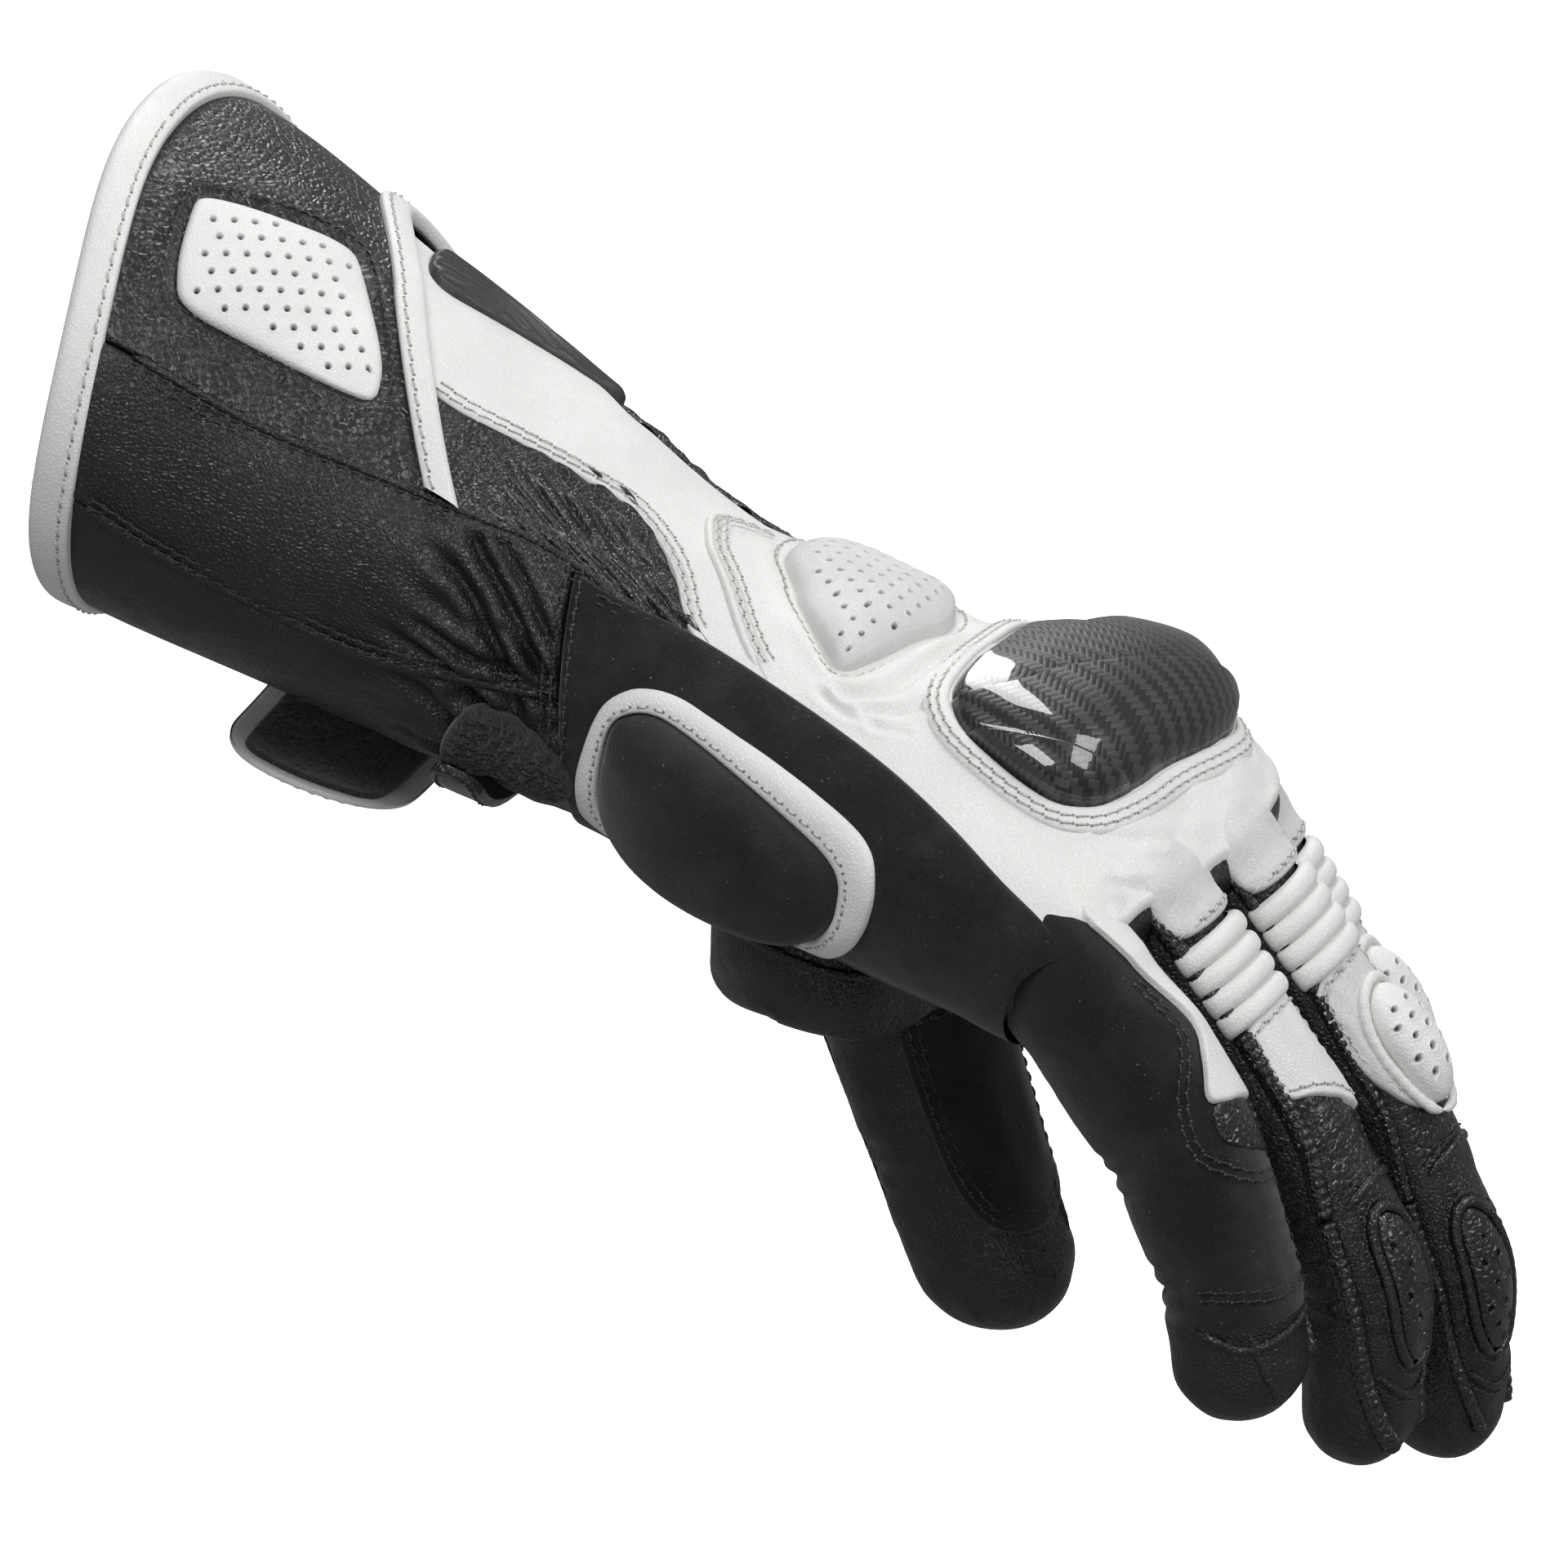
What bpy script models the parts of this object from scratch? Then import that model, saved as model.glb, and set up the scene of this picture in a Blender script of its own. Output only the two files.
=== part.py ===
"""Right-hand motorcycle gauntlet glove, cut and sewn from leather panels.

Frame: origin at the middle of the cuff opening, +X along the forearm towards the fingers,
+Y towards the thumb side, +Z out of the back of the hand. Every piece is its own object.
"""

import math

import bmesh
import bpy
import numpy as np
from mathutils import Matrix, Vector

MM = 0.001

# Leather and layers, in millimetres. Offsets are measured outwards from the glove's surface.
LEATHER = 1.4
LINING = 0.9
LINING_OFFSET = -4.2
SLEEVE_OFFSET = -1.9
SLEEVE_THICKNESS = 1.2
LAYER_GAP = 0.8
SEAM_GAP_DEG = 0.5

# Sections of the gauntlet and hand: distance from the cuff, height of the middle,
# half width, half height and squareness.
SECTIONS = (
    (-24, 0.0, 60.0, 44.5, 2.1),
    (0, 0.0, 57.5, 43.0, 2.1),
    (40, -3.0, 51.5, 38.5, 2.1),
    (80, -6.0, 44.5, 33.0, 2.2),
    (106, -8.5, 39.5, 29.0, 2.3),
    (118, -8.5, 39.0, 27.5, 2.3),
    (140, -8.0, 42.5, 26.0, 2.4),
    (170, -6.0, 47.0, 25.0, 2.5),
    (200, -5.0, 49.0, 21.5, 2.6),
    (222, -5.0, 48.5, 18.0, 2.6),
)

# Cuff edge and the notch over the back of the wrist, angles in degrees from the back of the
# hand towards the little finger.
CUFF_BACK = -12.0
CUFF_REACH = 20.0
CUFF_PALM_LIFT = 8.0
NOTCH_MIDDLE = -38.0
NOTCH_BOTTOM = 27.0
NOTCH_SLOPE = 0.66
NOTCH_ROUND = 13.0
SIDE_SEAM = 52.0
LOWER_SEAM = 92.0
THUMB_SEAM = -128.0

# Wrist hinge between gauntlet and hand.
WRIST_AXIS = (106.0, 0.0, -8.5)
WRIST_HALF_GAP = 5.5

# Hand panels.
SUEDE_TOP = ((111, 34), (143, 34), (161, 38), (182, 45), (200, 55), (215, 66))
PALM_SEAM = 135.0
THENAR_SEAM = 190.0
BACK_SEAM = -80.0

# Fingers: first knuckle, yaw, lengths, pitch of each phalanx below +X, half width, half height
# at the base, at the knuckles and near the tip.
FINGERS = {
    "index": ((218, 36.0, -14), 3.0, (44, 30, 36), (37, 56, 74), 11.0, (13.5, 12.2, 11.4)),
    "middle": ((224, 12.0, -5), 1.0, (47, 35, 40), (32, 46, 71), 11.2, (13.5, 12.4, 11.6)),
    "ring": ((220, -12.5, -5), -1.5, (44, 30, 38), (32, 41, 72), 11.2, (13.5, 12.2, 11.4)),
    "little": ((215, -37.0, -6.5), -4.5, (34, 25, 29), (33, 48, 62), 11.0, (14.0, 12.6, 11.2)),
}
STRETCH_RIBS = 4
STRETCH_REACH = (3.0, 20.0)
KNUCKLE_RECESS = 9.0
TIP_RECESS = 7.0
THUMB = ((155.0, 27.0, -42.0), -6.0, 56.0, (62.0, 40.0), 15.0, (16.5, 15.0, 14.0))
THUMB_ROLL = -90.0
THUMB_HOLE_RADIUS = 13.5
# Where the thumb hole is cut, from the thumb's root, which way, and how deep.
THUMB_HOLE_SHIFT = (-9, 0, 12)
THUMB_HOLE_WAY = (0.5, 0.1, -0.85)
THUMB_HOLE_DEPTH = 44

# Pad outlines on the glove's surface, as (distance from the cuff, angle).
VENT_PAD = ((0, 10), (30, -6), (52, 30), (10, 39))
WRIST_PAD = ((122, -16), (126, -52), (152, -54), (159, -18), (149, 22))
KNUCKLE_SHIELD = ((166, 10), (165, -30), (168, -62), (206, -68), (216, -26), (198, 21), (176, 19))
SLIDER = ((113, 62), (124, 57), (172, 68), (178, 92), (172, 124), (142, 134), (114, 116))
TRIM_PLATE = ((42, -14), (36, -38), (42, -62), (78, -50), (84, -38), (78, -30))
CUFF_LOOP = ((46, 150), (46, 190), (76, 190), (76, 150))

# Middles of the shield and slider outlines, and how far their cores are drawn in.
SHIELD_MIDDLE = (190, -25)
SLIDER_MIDDLE = (146, 94)
CORE_SCALE = 0.84

# Closure flap under the cuff and the strap round the wrist.
FLAP_MIDDLE_X = 62.0
FLAP_WIDTH = 39.0
FLAP_START = 206.0
FLAP_END = 138.0
FLAP_OPEN = 14.0
STRAP_START_X = 86.5
STRAP_END_X = 98.5
STRAP_START = 226.0
STRAP_END = 108.0

COLOURS = {
    "white_leather": ((0.80, 0.80, 0.79), 0.55, 0.0),
    "black_leather": ((0.022, 0.022, 0.023), 0.42, 0.0),
    "suede": ((0.028, 0.028, 0.029), 0.95, 0.0),
    "soft_leather": ((0.018, 0.018, 0.019), 0.38, 0.0),
    "carbon": ((0.02, 0.02, 0.022), 0.12, 0.0),
    "rubber": ((0.03, 0.03, 0.032), 0.5, 0.0),
    "lining": ((0.05, 0.05, 0.052), 0.9, 0.0),
    "foam": ((0.12, 0.12, 0.12), 0.95, 0.0),
    "hook_and_loop": ((0.015, 0.015, 0.015), 0.98, 0.0),
}


def clear_scene():
    for item in list(bpy.data.objects):
        bpy.data.objects.remove(item, do_unlink=True)


def new_collection(name):
    made = bpy.data.collections.new(name)
    bpy.context.scene.collection.children.link(made)
    return made


def material_for(name, finish):
    """A material of the piece's own, in the colour, roughness and metallic value of its finish."""
    colour, roughness, metallic = COLOURS[finish]
    made = bpy.data.materials.new(name + "_" + finish)
    made.use_nodes = True
    shader = made.node_tree.nodes["Principled BSDF"]
    shader.inputs["Base Color"].default_value = (*colour, 1.0)
    shader.inputs["Roughness"].default_value = roughness
    shader.inputs["Metallic"].default_value = metallic
    return made


def smooth_between(x, table, column):
    """Catmull-Rom value of one column of a station table at every x."""
    rows = np.asarray(table, float)
    xs = rows[:, 0]
    values = rows[:, column]
    x = np.clip(np.asarray(x, float), xs[0], xs[-1])
    slopes = np.gradient(values, xs)
    k = np.clip(np.searchsorted(xs, x, side="right") - 1, 0, len(xs) - 2)
    span = xs[k + 1] - xs[k]
    t = (x - xs[k]) / span
    a = values[k] * (2 * t**3 - 3 * t**2 + 1) + values[k + 1] * (3 * t**2 - 2 * t**3)
    b = slopes[k] * (t**3 - 2 * t**2 + t) + slopes[k + 1] * (t**3 - t**2)
    return a + b * span


def rounded_power(value, power):
    return np.sign(value) * np.abs(value) ** power


def on_glove(x, angle, offset):
    """Points on the gauntlet and hand, for a distance, an angle and an offset outwards."""
    x, angle, offset = np.broadcast_arrays(x, np.radians(angle), offset)
    middle, half_width, half_height, square = (
        smooth_between(x, SECTIONS, column) for column in range(1, 5)
    )
    y = -(half_width + offset) * rounded_power(np.sin(angle), 2 / square)
    z = middle + (half_height + offset) * rounded_power(np.cos(angle), 2 / square)
    return np.stack([x, y, z], axis=-1)


def on_finger(half_width, heights, length):
    """The surface of one phalanx in its own frame: +X along it, +Z out of its back."""

    def place(s, angle, offset):
        s, angle, offset = np.broadcast_arrays(s, np.radians(angle), offset)
        height = np.interp(s, (0, length), heights)
        y = -(half_width + offset) * rounded_power(np.sin(angle), 0.87)
        z = (height + offset) * rounded_power(np.cos(angle), 0.87)
        return np.stack([s, y, z], axis=-1)

    return place


def cuff_edge(angle):
    """The cuff reaches furthest up the forearm over the back of the wrist."""
    back = (1 + np.cos(np.radians(angle - CUFF_BACK))) / 2
    return 3 - CUFF_REACH * back**4 + CUFF_PALM_LIFT * (1 - back) ** 2


def notch_edge(angle):
    """The far edge of the outer gauntlet, a V with a round bottom."""
    across = np.abs(angle - NOTCH_MIDDLE)
    rise = NOTCH_SLOPE * (np.sqrt(across**2 + NOTCH_ROUND**2) - NOTCH_ROUND)
    return NOTCH_BOTTOM + rise


def knuckle_line(y):
    """How far the four first knuckles lie from the cuff, for a sideways position."""
    return 222 - 0.005 * (y - 8) ** 2


def hand_end(angle):
    """The hand's panels stop short of the finger tubes, further back on the palm."""
    y = on_glove(np.full_like(angle, 214.0), angle, 0.0)[..., 1]
    under = np.clip(1.1 * (1 - np.cos(np.radians(angle))), 0, 1)
    return knuckle_line(y) - 3 - 10 * under


def suede_edge(x):
    table = np.asarray(SUEDE_TOP, float)
    return np.interp(x, table[:, 0], table[:, 1])


class Workshop:
    """Makes the pieces and keeps the collections that they go in."""

    def __init__(self, parts, tools):
        self.parts = parts
        self.tools = tools

    def add(self, name, points, faces, finish, smooth=True, parent=None):
        mesh = bpy.data.meshes.new(name)
        mesh.from_pydata([tuple(p) for p in np.asarray(points, float) * MM], [], faces)
        mesh.update()
        if smooth:
            mesh.shade_smooth()
            mesh.set_sharp_from_angle(angle=math.radians(40))
        piece = bpy.data.objects.new(name, mesh)
        mesh.materials.append(material_for(name, finish))
        self.parts.objects.link(piece)
        if parent:
            piece.parent = parent
        return piece

    def thicken(self, piece, thickness):
        wall = piece.modifiers.new("wall", "SOLIDIFY")
        wall.thickness = thickness * MM
        wall.offset = -1
        return piece

    def panel(self, name, place, along, across, offset, thickness, finish, parent=None):
        """A leather panel between two seams: an open grid with a wall.

        along and across give the distance and the angle of every grid point.
        """
        points = place(along, across, offset)
        rows, columns = along.shape
        faces = grid_faces(rows, columns, False)
        made = self.add(name, points.reshape(-1, 3), faces, finish, parent=parent)
        return self.thicken(made, thickness)

    def tube(self, name, place, start, end, steps, sides, thickness, finish, parent=None, tip=None):
        """A sleeve of leather round a finger; with a tip, its far end closes in a dome."""
        angles = np.arange(sides) * 360.0 / sides
        t = np.linspace(0, 1, steps + 1)[:, None]
        along = start(angles) * (1 - t) + end(angles) * t
        points = place(along, angles[None, :], 0.0).reshape(-1, 3)
        faces = grid_faces(steps + 1, sides, True)
        if tip:
            rings = np.sin(np.radians((24, 46, 68)))
            last = points[-sides:]
            centre = last.mean(axis=0)
            for lift in rings:
                shrink = math.sqrt(1 - lift**2)
                ring = centre + (last - centre) * shrink + np.array([tip * lift, 0, 0])
                points = np.vstack([points, ring])
            points = np.vstack([points, centre + np.array([tip, 0, 0])])
            faces = grid_faces(steps + 1 + len(rings), sides, True)
            first = (steps + len(rings)) * sides
            pole = len(points) - 1
            faces += [(first + j, first + (j + 1) % sides, pole) for j in range(sides)]
        made = self.add(name, points, faces, finish, parent=parent)
        return self.thicken(made, thickness)

    def pad(self, name, place, outline, low, heights, finish, parent=None, count=24):
        """A pad laid on a surface: a closed form whose underside follows the surface.

        heights lists (fraction of the outline, offset) from the rim to the middle.
        """
        rim = rounded_outline(outline, count)
        middle = rim.mean(axis=0)
        inner = [fraction for fraction, _ in heights[1:-1] if fraction < 0.9]
        under = [(fraction, low) for fraction in inner[::-1]]
        layers = under + [(1.0, low)] + list(heights[:-1])
        rings = [middle + (rim - middle) * fraction for fraction, _ in layers]
        flat = np.vstack(rings + [middle, middle])
        lift = np.concatenate([np.full(count, offset) for _, offset in layers])
        lift = np.append(lift, (heights[-1][1], low))
        points = place(flat[:, 0], flat[:, 1], lift)
        faces = grid_faces(len(layers), count, True)
        top = (len(layers) - 1) * count
        crown = len(points) - 2
        base = len(points) - 1
        faces += [(top + j, top + (j + 1) % count, crown) for j in range(count)]
        faces += [((j + 1) % count, j, base) for j in range(count)]
        return outward(self.add(name, points, faces, finish, parent=parent))

    def slab(self, name, place, along, angles, low, high, finish, parent=None):
        """A closed piece over a grid of distances and angles; high gives its top's offset."""
        top = place(along[:, None], angles[None, :], high)
        base = place(along[:, None], angles[None, :], low)
        loop = np.concatenate([top, base[:, ::-1]], axis=1)
        rows, size = loop.shape[:2]
        faces = grid_faces(rows, size, True)
        for start in (0, (rows - 1) * size):
            faces += [
                (start + j, start + j + 1, start + size - 2 - j, start + size - 1 - j)
                for j in range(len(angles) - 1)
            ]
        return outward(self.add(name, loop.reshape(-1, 3), faces, finish, parent=parent))

    def border(self, name, place, outline, grow_in, grow_out, low, high, finish, parent=None, count=40):
        """A flat strip of leather round a pad, closed on itself."""
        rim = rounded_outline(outline, count)
        middle = rim.mean(axis=0)
        profile = ((grow_in, low), (grow_out, low), (grow_out, high), (grow_in, high))
        points = []
        for fraction, offset in profile:
            ring = middle + (rim - middle) * fraction
            points.append(place(ring[:, 0], ring[:, 1], offset))
        faces = grid_faces(4, count, True)
        faces += [
            (3 * count + j, 3 * count + (j + 1) % count, (j + 1) % count, j) for j in range(count)
        ]
        return outward(self.add(name, np.vstack(points), faces, finish, parent=parent))

    def cut(self, piece, tool_name, centre, direction, radius, depth):
        """Cuts a round hole through a piece."""
        turn = Vector(direction).to_track_quat("Z", "Y").to_matrix().to_4x4()
        place = Matrix.Translation(Vector(centre) * MM) @ turn
        mesh = bpy.data.meshes.new(tool_name)
        build = bmesh.new()
        bmesh.ops.create_cone(
            build, cap_ends=True, segments=24, radius1=radius * MM, radius2=radius * MM, depth=depth * MM
        )
        build.to_mesh(mesh)
        build.free()
        tool = bpy.data.objects.new(tool_name, mesh)
        tool.matrix_world = place
        tool.hide_render = True
        tool.display_type = "WIRE"
        self.tools.objects.link(tool)
        hole = piece.modifiers.new("hole", "BOOLEAN")
        hole.operation = "DIFFERENCE"
        hole.object = tool
        hole.solver = "EXACT"


def grid_faces(rows, columns, closed):
    """Quads of a grid of rows by columns, joined round when closed."""
    faces = []
    last = columns if closed else columns - 1
    for i in range(rows - 1):
        for j in range(last):
            k = (j + 1) % columns
            faces.append((i * columns + j, i * columns + k, (i + 1) * columns + k, (i + 1) * columns + j))
    return faces


def outward(piece):
    """Turns the faces of a closed piece out."""
    build = bmesh.new()
    build.from_mesh(piece.data)
    bmesh.ops.recalc_face_normals(build, faces=build.faces)
    build.to_mesh(piece.data)
    build.free()
    return piece


def rounded_outline(points, count):
    """A closed outline through corner points, its corners cut three times, evenly spaced."""
    loop = np.asarray(points, float)
    for _ in range(3):
        ahead = np.roll(loop, -1, axis=0)
        loop = np.stack([0.78 * loop + 0.22 * ahead, 0.22 * loop + 0.78 * ahead], axis=1)
        loop = loop.reshape(-1, 2)
    closed = np.vstack([loop, loop[:1]])
    steps = np.hypot(*(np.diff(closed, axis=0) * (1.0, 0.8)).T)
    travelled = np.concatenate([[0], np.cumsum(steps)])
    wanted = np.linspace(0, travelled[-1], count, endpoint=False)
    return np.stack([np.interp(wanted, travelled, closed[:, k]) for k in (0, 1)], axis=1)


def grid_between(start, end, first_angle, last_angle, steps, columns):
    """Distances and angles of a panel's grid points. start and end are functions of the angle."""
    angles = np.linspace(first_angle, last_angle, columns + 1)
    t = np.linspace(0, 1, steps + 1)[:, None]
    along = start(angles) * (1 - t) + end(angles) * t
    return along, np.broadcast_to(angles, along.shape)


def at(value):
    return lambda angles: np.full_like(np.asarray(angles, float), value)


def make_gauntlet(shop):
    wrist = WRIST_AXIS[0] - WRIST_HALF_GAP
    inside = SEAM_GAP_DEG / 2

    def panel(name, end, first, last, steps, columns, finish):
        along, across = grid_between(cuff_edge, end, first + inside, last - inside, steps, columns)
        shop.panel(name, on_glove, along, across, 0.0, LEATHER, finish)

    panel("gauntlet_back_panel", notch_edge, THUMB_SEAM, SIDE_SEAM, 6, 24, "black_leather")
    panel("gauntlet_side_panel", at(wrist), SIDE_SEAM, LOWER_SEAM, 8, 6, "black_leather")
    panel("gauntlet_palm_panel", at(wrist), LOWER_SEAM, THUMB_SEAM + 360, 8, 18, "black_leather")

    angles = np.arange(48) * 7.5
    profile = ((6.5, 0.5), (-1.0, 0.5), (-1.0, -1.8), (6.5, -1.8), (6.5, -2.7), (-2.2, -2.7))
    profile += ((-2.2, 1.4), (6.5, 1.4))
    rings = [on_glove(cuff_edge(angles) + along, angles, offset) for along, offset in profile]
    faces = grid_faces(len(profile), 48, True)
    top = (len(profile) - 1) * 48
    faces += [(top + j, top + (j + 1) % 48, (j + 1) % 48, j) for j in range(48)]
    outward(shop.add("cuff_binding", np.vstack(rings), faces, "white_leather"))

    crown = ((1.0, 1.4), (0.95, 2.2), (0.6, 2.8), (0.0, 3.0))
    shop.pad("gauntlet_vent_pad", on_glove, VENT_PAD, LAYER_GAP, crown, "white_leather")

    sweep = np.linspace(SIDE_SEAM - 1.5, THUMB_SEAM + 1.5, 45)
    profile = ((-4.5, 0.5), (-4.5, 1.6), (-2.0, 2.2), (1.4, 2.0), (1.4, 0.5))
    edge = [on_glove(notch_edge(sweep) + along, sweep, offset) for along, offset in profile]
    count = len(profile)
    points = np.stack(edge, axis=1).reshape(-1, 3)
    faces = grid_faces(len(sweep), count, True)
    faces += [tuple(range(count)), tuple(range(len(points) - count, len(points)))[::-1]]
    outward(shop.add("notch_piping", points, faces, "white_leather"))

    def sleeve(name, first, last, columns, finish):
        def start(angles):
            return notch_edge(angles) - 8

        along, across = grid_between(start, at(wrist), first + inside, last - inside, 6, columns)
        shop.panel(name, on_glove, along, across, SLEEVE_OFFSET, SLEEVE_THICKNESS, finish)

    sleeve("wrist_back_strip", -85, 12, 13, "white_leather")
    sleeve("outer_wrist_gusset", 12, SIDE_SEAM + 6, 7, "soft_leather")
    sleeve("inner_wrist_gusset", THUMB_SEAM - 6, -85, 7, "soft_leather")
    ridge = ((1.0, 0.0), (0.92, 0.8), (0.5, 1.0), (0.0, 1.1))
    shop.pad("wrist_trim_plate", on_glove, TRIM_PLATE, SLEEVE_OFFSET + 0.5, ridge, "rubber")

    lining = at(wrist - 1)
    along, across = grid_between(lambda a: cuff_edge(a) + 8, lining, 0, 337.5, 4, 15)
    points = on_glove(along, across, LINING_OFFSET).reshape(-1, 3)
    made = shop.add("gauntlet_lining", points, grid_faces(5, 16, True), "lining")
    shop.thicken(made, LINING)

    flat = ((1.0, 1.8), (0.5, 1.8), (0.0, 1.8))
    shop.pad("cuff_loop_patch", on_glove, CUFF_LOOP, 1.0, flat, "hook_and_loop", count=20)
    loops = ((87.5, 114), (87.5, 150), (98, 150), (98, 114))
    thin = ((1.0, 1.5), (0.5, 1.5), (0.0, 1.5))
    shop.pad("wrist_loop_patch", on_glove, loops, LAYER_GAP, thin, "hook_and_loop", count=20)


def make_closures(shop, flap_pivot, strap_pivot):
    """The closure flap hangs a little open; the wrist strap lies closed over its loop patch."""
    opened = Matrix.Rotation(math.radians(FLAP_OPEN), 4, "X")

    def from_pivot(pivot, turn):
        def place(x, angle, offset):
            points = on_glove(x, angle, offset) - np.array(pivot)
            return points @ np.array(turn.to_3x3()).T

        return place

    on_flap = from_pivot(closure_pivot(FLAP_MIDDLE_X, FLAP_START), opened)
    angles = np.linspace(FLAP_START, FLAP_END, 12)[:, None]
    across = np.linspace(-1, 1, 9)[None, :]
    reach = (FLAP_START - angles) / (FLAP_START - FLAP_END)
    half = FLAP_WIDTH / 2 * np.sqrt(1 - 0.92 * np.clip((reach - 0.6) / 0.4, 0, 1) ** 2)
    points = on_flap(FLAP_MIDDLE_X + half * across, angles, 4.2).reshape(-1, 3)
    faces = grid_faces(12, 9, False)
    made = shop.add("cuff_flap", points, faces, "white_leather", parent=flap_pivot)
    shop.thicken(outward_sheet(made, (0, 0, -1)), LEATHER)
    hooks = ((50, 146), (50, 176), (75, 176), (75, 146))
    flat = ((1.0, 2.4), (0.5, 2.4), (0.0, 2.4))
    shop.pad("cuff_hook_patch", on_flap, hooks, 1.7, flat, "hook_and_loop", flap_pivot, count=20)

    strap_middle = (STRAP_START_X + STRAP_END_X) / 2
    on_strap = from_pivot(closure_pivot(strap_middle, STRAP_START), Matrix.Identity(4))
    angles = np.linspace(STRAP_START, STRAP_END, 18)[:, None]
    across = np.linspace(0, 1, 4)[None, :]
    x = STRAP_START_X + (STRAP_END_X - STRAP_START_X) * across
    points = on_strap(x, angles, 4.5).reshape(-1, 3)
    made = shop.add("wrist_strap", points, grid_faces(18, 4, False), "soft_leather", parent=strap_pivot)
    shop.thicken(outward_sheet(made, (0, 0, -1)), LEATHER)
    hooks = ((87.5, 112), (87.5, 140), (97.5, 140), (97.5, 112))
    flat = ((1.0, 2.7), (0.5, 2.7), (0.0, 2.7))
    shop.pad("strap_hook_patch", on_strap, hooks, 2.0, flat, "hook_and_loop", strap_pivot, count=20)


def closure_pivot(x, angle):
    """Where a strap or flap is sewn on: the middle of its wall at its first edge."""
    return tuple(on_glove(np.array([x]), np.array([angle]), 3.6)[0])


def outward_sheet(piece, rough_normal):
    """Turns an open sheet so that most of its faces look along rough_normal."""
    total = sum((Vector(f.normal) * f.area for f in piece.data.polygons), Vector())
    if total.dot(Vector(rough_normal)) < 0:
        piece.data.flip_normals()
    return piece


def make_hand(shop, wrist):
    start = WRIST_AXIS[0] + WRIST_HALF_GAP
    shift = np.array(WRIST_AXIS)

    def on_hand(x, angle, offset):
        return on_glove(x, angle, offset) - shift

    t = np.linspace(0, 1, 9)[:, None]

    def panel(name, first, last, columns, finish):
        """A panel whose side seams may wander: first and last give the angle at a distance."""
        v = np.linspace(0, 1, columns + 1)[None, :]
        rough = first(165.0) * (1 - v) + last(165.0) * v
        along = start * (1 - t) + hand_end(rough) * t
        across = first(along) * (1 - v) + last(along) * v
        return shop.panel(name, on_hand, along, across, 0.0, LEATHER, finish, wrist)

    gap = SEAM_GAP_DEG
    panel("hand_back_panel", at(BACK_SEAM + gap), lambda x: suede_edge(x) - gap, 14, "white_leather")
    panel("outer_suede_panel", lambda x: suede_edge(x), at(PALM_SEAM - gap), 11, "suede")
    panel("palm_panel", at(PALM_SEAM), at(THENAR_SEAM - gap), 8, "black_leather")
    thenar = panel("thenar_panel", at(THENAR_SEAM), at(BACK_SEAM + 360 - gap), 12, "black_leather")
    pivot = np.array(THUMB[0])
    hole = pivot + THUMB_HOLE_SHIFT
    shop.cut(thenar, "thumb_hole_cutter", hole, THUMB_HOLE_WAY, THUMB_HOLE_RADIUS, THUMB_HOLE_DEPTH)

    lining_faces = grid_faces(5, 16, True)
    angles = np.arange(16) * 22.5
    t5 = np.linspace(0, 1, 5)[:, None]
    along = (start + 1) * (1 - t5) + (hand_end(angles) - 4) * t5
    points = on_hand(along, angles[None, :], LINING_OFFSET).reshape(-1, 3)
    lining = shop.add("hand_lining", points, lining_faces, "lining", parent=wrist)
    shop.thicken(lining, LINING)
    shop.cut(lining, "lining_hole_cutter", hole, THUMB_HOLE_WAY, THUMB_HOLE_RADIUS, THUMB_HOLE_DEPTH)

    crown = ((1.0, 2.5), (0.93, 5.5), (0.7, 8.0), (0.35, 9.0), (0.0, 9.2))
    shop.pad("wrist_pad", on_hand, WRIST_PAD, LAYER_GAP, crown, "white_leather", wrist)
    soft = ((1.0, 2.5), (0.8, 4.2), (0.45, 5.6), (0.0, 6.0))
    core = CORE_SCALE * (np.array(KNUCKLE_SHIELD, float) - SHIELD_MIDDLE) + SHIELD_MIDDLE
    shop.pad("knuckle_foam", on_hand, core, LAYER_GAP, soft, "foam", wrist)
    shield_shell(shop, on_hand, wrist)
    shop.border(
        "knuckle_shield_rim", on_hand, KNUCKLE_SHIELD, 1.03, 1.13, LAYER_GAP, 2.2, "white_leather", wrist, 32
    )
    crown = ((1.0, 2.0), (0.95, 5.0), (0.8, 8.2), (0.5, 10.5), (0.0, 11.2))
    inner = CORE_SCALE * (np.array(SLIDER, float) - SLIDER_MIDDLE) + SLIDER_MIDDLE
    shop.pad("palm_slider_pad", on_hand, inner, LAYER_GAP, crown, "suede", wrist)
    shop.border("palm_slider_border", on_hand, inner, 1.04, 1.19, LAYER_GAP, 2.4, "white_leather", wrist, 32)


def shield_shell(shop, place, parent):
    """The hard knuckle cover: a crowned shell with a lobe over each of three knuckles."""
    count = 30
    rim = rounded_outline(KNUCKLE_SHIELD, count)
    middle = rim.mean(axis=0)
    layers = ((1.0, 2.2), (0.95, 5.6), (0.82, 9.0), (0.6, 11.6), (0.3, 13.0))
    rings = []
    for fraction, offset in layers:
        ring = middle + (rim - middle) * fraction
        lobes = 0.9 * np.cos(np.radians(ring[:, 1] * 11.0)) * np.sin(np.pi * min(fraction, 0.9))
        rings.append(place(ring[:, 0], ring[:, 1], offset + lobes))
    rings.append(place(middle[:1], middle[1:], 13.2))
    points = np.vstack(rings)
    faces = grid_faces(len(layers), count, True)
    top = (len(layers) - 1) * count
    faces += [(top + j, top + (j + 1) % count, len(points) - 1) for j in range(count)]
    made = shop.add("knuckle_shield", points, faces, "carbon", parent=parent)
    shop.thicken(outward_sheet(made, (0, 0, 1)), 1.2)


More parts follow.
